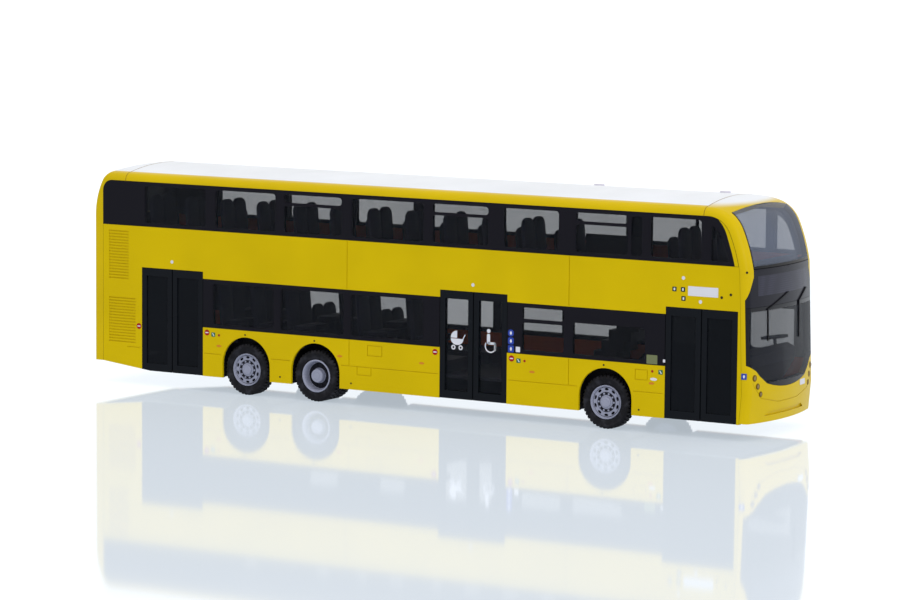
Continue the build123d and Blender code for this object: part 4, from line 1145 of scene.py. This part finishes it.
@dataclass
class Markings:
    """Small printed marks and marker lamps on the door side and the front."""

    shop: Workshop
    face: float = 14.65
    film: float = 0.03
    no_entry: tuple[Point, ...] = ((-67.85, 12.81), (-50.17, 12.65), (6.29, 12.63), (24.32, 12.63))
    green: tuple[Point, ...] = ((-48.56, 12.32), (25.95, 12.3), (58.25, 12.4))
    red_dots: tuple[Point, ...] = ((-47.1, 12.27), (27.35, 12.34), (56.4, 12.46))
    markers: tuple[Point, ...] = (
        (-47.12, 9.99), (-16.79, 10.06), (3.11, 10.06), (29.11, 10.24), (56.27, 10.04))
    dark_dots: tuple[Point, ...] = (
        (-40.44, 12.81), (-23.08, 12.8), (45.48, 12.89), (-31.6, 4.58), (-13.98, 4.58), (53.5, 4.54))
    lamps: tuple[Point, ...] = ((-59.23, 27.14), (15.14, 26.97), (66.8, 26.93), (62.99, 31.41))
    blue: tuple[Point, ...] = ((24.14, 17.8), (24.16, 16.18), (24.18, 14.57))
    signs: tuple[Point, ...] = ((61.04, 29.12), (62.92, 29.14), (63.06, 27.37))
    wide_dots: tuple[Point, ...] = ((71.41, 28.08), (73.4, 28.75))
    stickers: tuple[tuple[float, float, float, float], ...] = (
        (25.81, 14.57, 0.5, 0.55), (59.0, 14.7, 0.25, 0.3))
    grey_label: tuple[Point, Point] = ((55.1, 13.9), (57.5, 15.7))
    white_panel: tuple[Point, Point] = ((64.05, 28.0), (70.65, 29.9))
    white_oval: Point = (56.72, 10.89)
    front_plate: Point = (7.0, 9.75)
    headlamps: tuple[tuple[float, float, float], ...] = (
        (12.55, 12.45, 0.46), (11.6, 10.75, 0.42), (10.7, 9.15, 0.36))
    # Painted shade: how far the crescent rings beside the headlamps are shifted, and how wide they are.
    painted_shade_offset: float = 0.12
    painted_shade_width: float = 0.2
    corner_marks: tuple[Point, ...] = ((76.52, 33.24), (76.5, 12.9))
    ahead: float = 120.0
    beside: float = -40.0

    def front_marks(self) -> None:
        """The blank plate on the bumper, the marks on the rounded corner of the front, and rings of painted
        shade beside the headlamps.
        """
        plate = filled([rounded((-1.4, -0.55), (1.4, 0.55), 0.12)], 0.16)
        y, z = self.front_plate
        spot = moved(plate, seated("front_panel", (self.ahead, y, z), (-1, 0, 0)))
        self.shop.add("front_plate_blank", spot, WHITE_INK, "lamp_clear")
        (x0, z0), (x1, z1) = self.corner_marks
        place = seated("front_panel", (x0, self.beside, z0), (0, 1, 0))
        dot = moved(filled([oval((0, 0), 0.24, 0.24)], 0.08), place)
        self.shop.add("front_corner_dot", dot, DARK_INK, "gloss_black")
        place = seated("front_panel", (x1, self.beside, z1), (0, 1, 0))
        figure = oval((0, 0), 0.2, 0.32, 16)
        square = moved(filled([rounded((-0.55, -0.6), (0.55, 0.6), 0.12), figure], 0.1), place)
        self.shop.add("front_corner_sign", square, BLUE_INK, "gloss_black")
        inlay = moved(filled([figure], 0.1), place)
        self.shop.add("front_corner_sign_figure", inlay, WHITE_INK, "lamp_clear")
        # Painted shade: an off-centre brown ring beside each headlamp, standing for the shade in its hollow.
        rings = []
        for y, z, radius in self.headlamps:
            shift, outer = radius + self.painted_shade_offset, radius + self.painted_shade_width
            for way in (-1, 1):
                ring = filled([oval((0, 0), outer, outer), oval((0, 0), radius, radius)], 0.1)
                beside = seated("front_panel", (self.ahead, way * (y - shift), z), (-1, 0, 0))
                rings.append(moved(ring, beside @ Matrix.Translation((way * shift, 0, 0))))
        self.shop.add("headlamp_painted_shade_rings", merged(rings), HEADLAMP_PAINTED_SHADE, "gloss_black")

    def stamp(self, name: str, shapes: Sequence[Sequence[Loop]], finish: Moulding, slot: str,
              lift: float = 0.0) -> None:
        """Prints shapes on the door side as one piece.

        Args:
            name: the piece's name.
            shapes: each shape's outline and openings as (x, z).
            finish: the ink.
            slot: the record's material slot.
            lift: how far its back stands off the panel.
        """
        depth = -(self.face + lift + self.film / 2)
        parts = [moved(filled(loops, self.film), on_side(depth)) for loops in shapes]
        self.shop.add(name, merged(parts), finish, slot)

    def build(self) -> None:
        """All marks, one piece for each ink."""
        film = self.film
        bars = [rounded((x - 0.4, z - 0.12), (x + 0.4, z + 0.12), 0.08) for x, z in self.no_entry]
        rings = [[oval(p, 0.62, 0.62), bar] for p, bar in zip(self.no_entry, bars)]
        dots = [[oval(p, 0.26, 0.26)] for p in self.red_dots]
        self.stamp("red_marks", rings + dots, RED_INK, "lamp_red")
        leaves = [[(x - 0.3, z + 0.3), (x - 0.05, z + 0.3), (x + 0.32, z - 0.3), (x + 0.05, z - 0.3)]
                  for x, z in self.green]
        plates = [[rounded((x - 0.48, z - 0.45), (x + 0.48, z + 0.45), 0.1), leaf]
                  for (x, z), leaf in zip(self.green, leaves)]
        self.stamp("green_marks", plates, GREEN_INK, "gloss_black")
        rounds = [rounded((x - 0.66, z - 0.7), (x + 0.66, z + 0.7), 0.6 - 0.25 * k)
                  for k, (x, z) in enumerate(self.blue)]
        signs = [oval((x, z), 0.24, 0.36, 16) for x, z in self.blue]
        self.stamp("blue_marks", [[r, s] for r, s in zip(rounds, signs)], BLUE_INK, "gloss_black", film)
        self.stamp("marker_lamps", [[oval(p, 0.62, 0.24)] for p in self.markers], ORANGE_INK, "lamp_red")
        dark = [[oval(p, 0.2, 0.2)] for p in self.dark_dots] + [[oval(p, 0.28, 0.28)] for p in self.wide_dots]
        self.stamp("dark_marks", dark, DARK_INK, "gloss_black")
        glyphs = [rounded((x - 0.18, z - 0.26), (x + 0.18, z + 0.26), 0.12) for x, z in self.signs]
        tiles = [rounded((x - 0.46, z - 0.46), (x + 0.46, z + 0.46), 0.1) for x, z in self.signs]
        self.stamp("dark_signs", [[t, g] for t, g in zip(tiles, glyphs)], SIGN_INK, "gloss_black")
        self.stamp("dark_sign_figures", [[g] for g in glyphs], WHITE_INK, "lamp_clear")
        labels = [[rounded((x - a, z - b), (x + a, z + b), 0.1)] for x, z, a, b in self.stickers]
        self.stamp("blank_labels", labels, WHITE_INK, "lamp_clear", film)
        self.stamp("grey_label", [[rounded(*self.grey_label, 0.1)]], LABEL_INK, "gloss_black", film)
        self.front_marks()
        white = [[shape] for shape in bars + leaves] + [[oval(p, 0.36, 0.36)] for p in self.lamps]
        white += [[rounded(*self.white_panel, 0.1)], [oval(self.white_oval, 0.75, 0.3)]]
        self.stamp("white_marks", white, WHITE_INK, "lamp_clear")
        self.stamp("blue_sign_figures", [[s] for s in signs], WHITE_INK, "lamp_clear", film)


@dataclass
class Studio:
    """White floor, soft light and the camera of the photograph."""

    shop: Workshop
    eye: Place = (395.0763, -661.3607, 109.5039)
    azimuth: float = 30.788
    elevation: float = 6.514
    roll: float = 0.506
    lens: float = 148.884
    sensor: float = 36.0
    floor_half: float = 9.0
    sky: float = 0.8
    middle: Place = (0, 0, 0.02)
    boxes: tuple[tuple[str, Place, Point, float], ...] = (
        ("top_box", (0.05, -0.15, 0.75), (0.9, 0.6), 1.5),
        ("side_box", (-0.1, -0.9, 0.45), (0.9, 0.6), 0.4),
        ("front_box", (0.8, -0.2, 0.35), (0.5, 0.5), 1.6))

    def camera(self) -> None:
        """The camera that took the photograph."""
        data = bpy.data.cameras.new("camera")
        data.sensor_fit, data.sensor_width, data.lens = "HORIZONTAL", self.sensor, self.lens
        data.clip_start, data.clip_end = 0.01, 60.0
        camera = linked("camera", data)
        turn = Matrix.Rotation(math.radians(self.azimuth), 4, "Z")
        tilt = Matrix.Rotation(math.radians(90 - self.elevation), 4, "X")
        spin = Matrix.Rotation(math.radians(self.roll), 4, "Z")
        camera.matrix_world = Matrix.Translation(Vector(self.eye) * MM) @ turn @ tilt @ spin
        bpy.context.scene.camera = camera

    def floor(self) -> None:
        """A wide white sheet under the wheels."""
        sheet = bmesh.new()
        bmesh.ops.create_grid(sheet, x_segments=8, y_segments=8, size=self.floor_half)
        mesh = bpy.data.meshes.new("studio_floor")
        sheet.to_mesh(mesh)
        sheet.free()
        mesh.materials.append(self.shop.finish(FloorSheet()))
        linked("studio_floor", mesh)

    def lamp(self, name: str, place: Place, size: Point, power: float) -> None:
        """One soft box that points at the middle of the bus.

        Args:
            name: the lamp's name.
            place: where it hangs, in metres.
            size: its width and height in metres.
            power: its power in watts.
        """
        data = bpy.data.lights.new(name, "AREA")
        data.shape, data.size, data.size_y, data.energy = "RECTANGLE", size[0], size[1], power
        lamp = linked(name, data)
        lamp.location = place
        lamp.rotation_euler = (Vector(self.middle) - Vector(place)).to_track_quat("-Z", "Y").to_euler()

    def sky_light(self) -> None:
        """An even white surround, seen at full white and lighting a little weaker."""
        world = bpy.data.worlds.new("studio")
        bpy.context.scene.world = world
        tree = Tree(world)
        camera, glossy, through = (tree.node("ShaderNodeLightPath", output=f"Is {kind} Ray")
                                   for kind in ("Camera", "Glossy", "Transmission"))
        white = (1.0, 1.0, 1.0, 1.0)
        weak, full = (tree.node("ShaderNodeBackground", inputs={"Color": white, "Strength": strength})
                      for strength in (self.sky, 1.0))
        seen = camera.most(glossy).most(through)
        shade = tree.node("ShaderNodeMixShader", inputs={0: seen, 1: weak, 2: full})
        tree.node("ShaderNodeOutputWorld", inputs={"Surface": shade})

    def build(self) -> None:
        """Floor, sky, lamps and camera."""
        self.floor()
        self.sky_light()
        for box in self.boxes:
            self.lamp(*box)
        self.camera()
        bpy.context.scene.view_settings.view_transform = "Standard"


def main() -> None:
    """Builds the bus's looks, one sub-assembly after another, and the studio round it."""
    logging.basicConfig(level=logging.INFO, format="%(name)s: %(message)s")
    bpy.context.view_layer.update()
    shop = Workshop()
    for assembly in (Shell, SideWindows, Doors, Wheels, Interior, Markings, Studio):
        assembly(shop).build()
        LOG.info("%s done", assembly.__name__)


if __name__ == "__main__":
    main()
